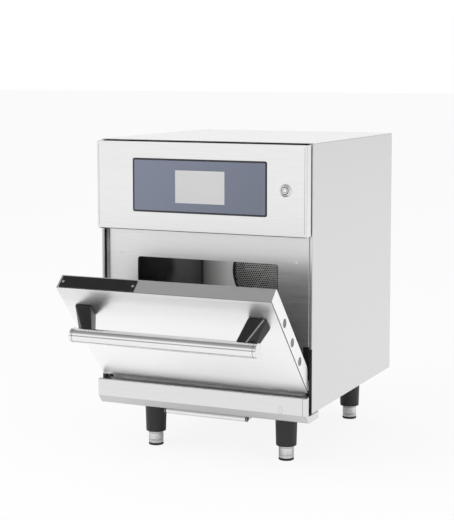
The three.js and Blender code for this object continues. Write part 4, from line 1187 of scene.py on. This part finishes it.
TIP_LENGTH = 0.0035
TIP_LIP = 0.0004
TIP_BEVEL = 0.0008
TIP_PROUD = 0.0002
TIP_FACE_SHARE = 0.8


def make_filter():
    """The filter's frame and mesh pad with a pull bar, capped black at both ends."""
    dress("air_filter", frame_steel)
    low, high = span("air_filter")
    radius = (high.z - low.z) / 2
    for side, end, out in (("left", low.x, -1), ("right", high.x, 1)):
        cap = turned("x", (low.y + radius, (low.z + high.z) / 2), [
            (0, end + out * TIP_PROUD), (radius * TIP_FACE_SHARE, end + out * TIP_PROUD),
            (radius + TIP_LIP, end - out * TIP_BEVEL), (radius + TIP_LIP, end - out * TIP_LENGTH),
            (0, end - out * TIP_LENGTH)], SMALL_ROUND_STEPS)
        add_piece("filter_cap_" + side, cap, black_plastic, "filter")


# Legs. A table's points are the distance in from the side and the height.

CORNERS = ("front_left", "front_right", "rear_left", "rear_right")
LEG_TAPER_SHARE = 0.9
LEG_BORE_MARGIN = 0.003
LEG_BOTTOM = ((0.0014, 0), (0.0004, 0.0005), (0, 0.0016), (-0.0001, 0.004))
LEG_TOP = ((0, -0.004), (0, -0.001), (0.0006, 0))
STUD_RADIUS = 0.006
STUD_CHAMFER = 0.001
ADJUSTER_CHAMFERS = (0.0012, 0.001)
GROOVE_RISES = (0.006, 0.0075, 0.0205, 0.022)
GROOVE_POINTS = ((0, 0), (0.0006, 0.0003), (0, 0.0009))
WRENCH_HOLES = 4
WRENCH_TURN = math.radians(35)
WRENCH_RISE = 0.0125
WRENCH_RADIUS = 0.0016
WRENCH_REACH = 0.003
WRENCH_STEPS = 16
PAD_BOTTOM = 0.001
PAD_TOP = 0.0007


def make_adjuster(corner, place):
    """A turned adjuster with grooves and four wrench holes."""
    low, high = span("leg_adjuster_" + corner)
    radius = (high.x - low.x) / 2
    lower, upper = ADJUSTER_CHAMFERS
    grooves = [(radius - depth, low.z + rise + height)
               for rise in GROOVE_RISES for depth, height in GROOVE_POINTS]
    adjuster = turned("z", place, [
        (0, low.z), (radius - lower, low.z), (radius, low.z + upper), *grooves,
        (radius, high.z - upper), (radius - upper, high.z), (0, high.z)])
    ends = (radius - WRENCH_REACH, radius + WRENCH_REACH)
    holes = []
    for i in range(WRENCH_HOLES):
        hole = turned("x", (0, low.z + WRENCH_RISE), [
            (0, ends[0]), (WRENCH_RADIUS, ends[0]), (WRENCH_RADIUS, ends[1]), (0, ends[1])], WRENCH_STEPS)
        turn = Matrix.Rotation(WRENCH_TURN + 2 * math.pi * i / WRENCH_HOLES, 4, "Z")
        bmesh.ops.transform(hole, matrix=Matrix.Translation((*place, 0)) @ turn, verts=hole.verts)
        holes.append(hole)
    stand_in("adjuster_" + corner, combined(adjuster, *holes), polished_steel,
             "leg_adjuster_" + corner)


def make_leg(corner):
    """A tapered plastic leg, its adjuster and a rubber pad."""
    low, high = span("leg_" + corner)
    adjuster_low, adjuster_high = span("leg_adjuster_" + corner)
    place = ((low.x + high.x) / 2, (low.y + high.y) / 2)
    top_radius = (high.x - low.x) / 2
    bottom_radius = top_radius * LEG_TAPER_SHARE
    top = CASING_BOTTOM - GAP
    bore = (adjuster_high.x - adjuster_low.x) / 2 + GAP
    bore_end = adjuster_high.z + LEG_BORE_MARGIN
    leg = turned("z", place, [
        (0, bore_end), (bore, bore_end), (bore, low.z),
        *((bottom_radius - inset, low.z + rise) for inset, rise in LEG_BOTTOM),
        *((top_radius - inset, top + rise) for inset, rise in LEG_TOP),
        (STUD_RADIUS, top), (STUD_RADIUS, high.z - STUD_CHAMFER), (STUD_RADIUS - STUD_CHAMFER, high.z),
        (0, high.z)])
    stand_in("leg_body_" + corner, leg, black_plastic, "leg_" + corner)
    make_adjuster(corner, place)
    pad_low, pad_high = span("foot_pad_" + corner)
    radius = (pad_high.x - pad_low.x) / 2
    pad = turned("z", place, [
        (0, pad_low.z), (radius - PAD_BOTTOM, pad_low.z), (radius, pad_low.z + PAD_BOTTOM),
        (radius, pad_high.z - PAD_TOP), (radius - PAD_TOP, pad_high.z), (0, pad_high.z)])
    stand_in("pad_" + corner, pad, foot_rubber, "foot_pad_" + corner)


# What lies inside the casing or behind it

INSIDE = (
    (black_plastic, "display_module cooling_fan_frame cooling_fan_rotor"),
    (circuit_board, "control_board"),
    (mineral_wool, "insulation_wrap"),
    (dark_steel, "air_chamber circulation_fan air_heater"),
    (motor_black, "fan_motor"),
    (fin_aluminium, "magnetron capacitor"),
    (core_iron, "power_transformer"),
    (pale_plastic, "door_switch_right door_switch_left"),
    (inner_steel, "waveguide hinge_right hinge_left tray_rail_right tray_rail_left"),
    (inner_steel, "filter_rail_right filter_rail_left"),
)

GLAND_STANDS_OUT = 0.018
GLAND_BORE = 0.0045
GLAND_THREAD_SHARE = 2 / 3
# Points of the gland's nut: the distance in from its side and the distance from the panel.
NUT_POINTS = ((0, 0), (0, 0.0075), (0.001, 0.009), (0.002, 0.0095))
NUT_NECK = (0.0015, 0.0155)


def make_gland():
    """A cable gland with a domed nut."""
    low, high = span("cable_gland")
    centre = middle(low, high)
    radius = (high.x - low.x) / 2
    thread = radius * GLAND_THREAD_SHARE
    outside = cad_high.y - GLAND_STANDS_OUT
    gland = turned("y", (centre.x, centre.z), [
        (0, low.y), (thread, low.y), (thread, outside),
        *((radius - inset, outside + along) for inset, along in NUT_POINTS),
        (thread + NUT_NECK[0], outside + NUT_NECK[1]), (thread, high.y), (GLAND_BORE, high.y),
        (GLAND_BORE, outside), (0, outside)], MEDIUM_ROUND_STEPS)
    stand_in("cable_gland_nut", gland, black_plastic, "cable_gland")


make_camera()
make_world()
make_floor()
make_strips()
make_casing()
make_fascia()
make_top_seal()
make_glass()
make_button()
make_cavity()
make_door()
make_handle()
make_door_plate()
make_tray_marks()
make_tray()
make_filter()
for corner in CORNERS:
    make_leg(corner)
make_gland()
for material, nodes in INSIDE:
    for node in nodes.split():
        paint(node, material)
make_lamps()

bpy.context.scene.view_settings.view_transform = "Standard"
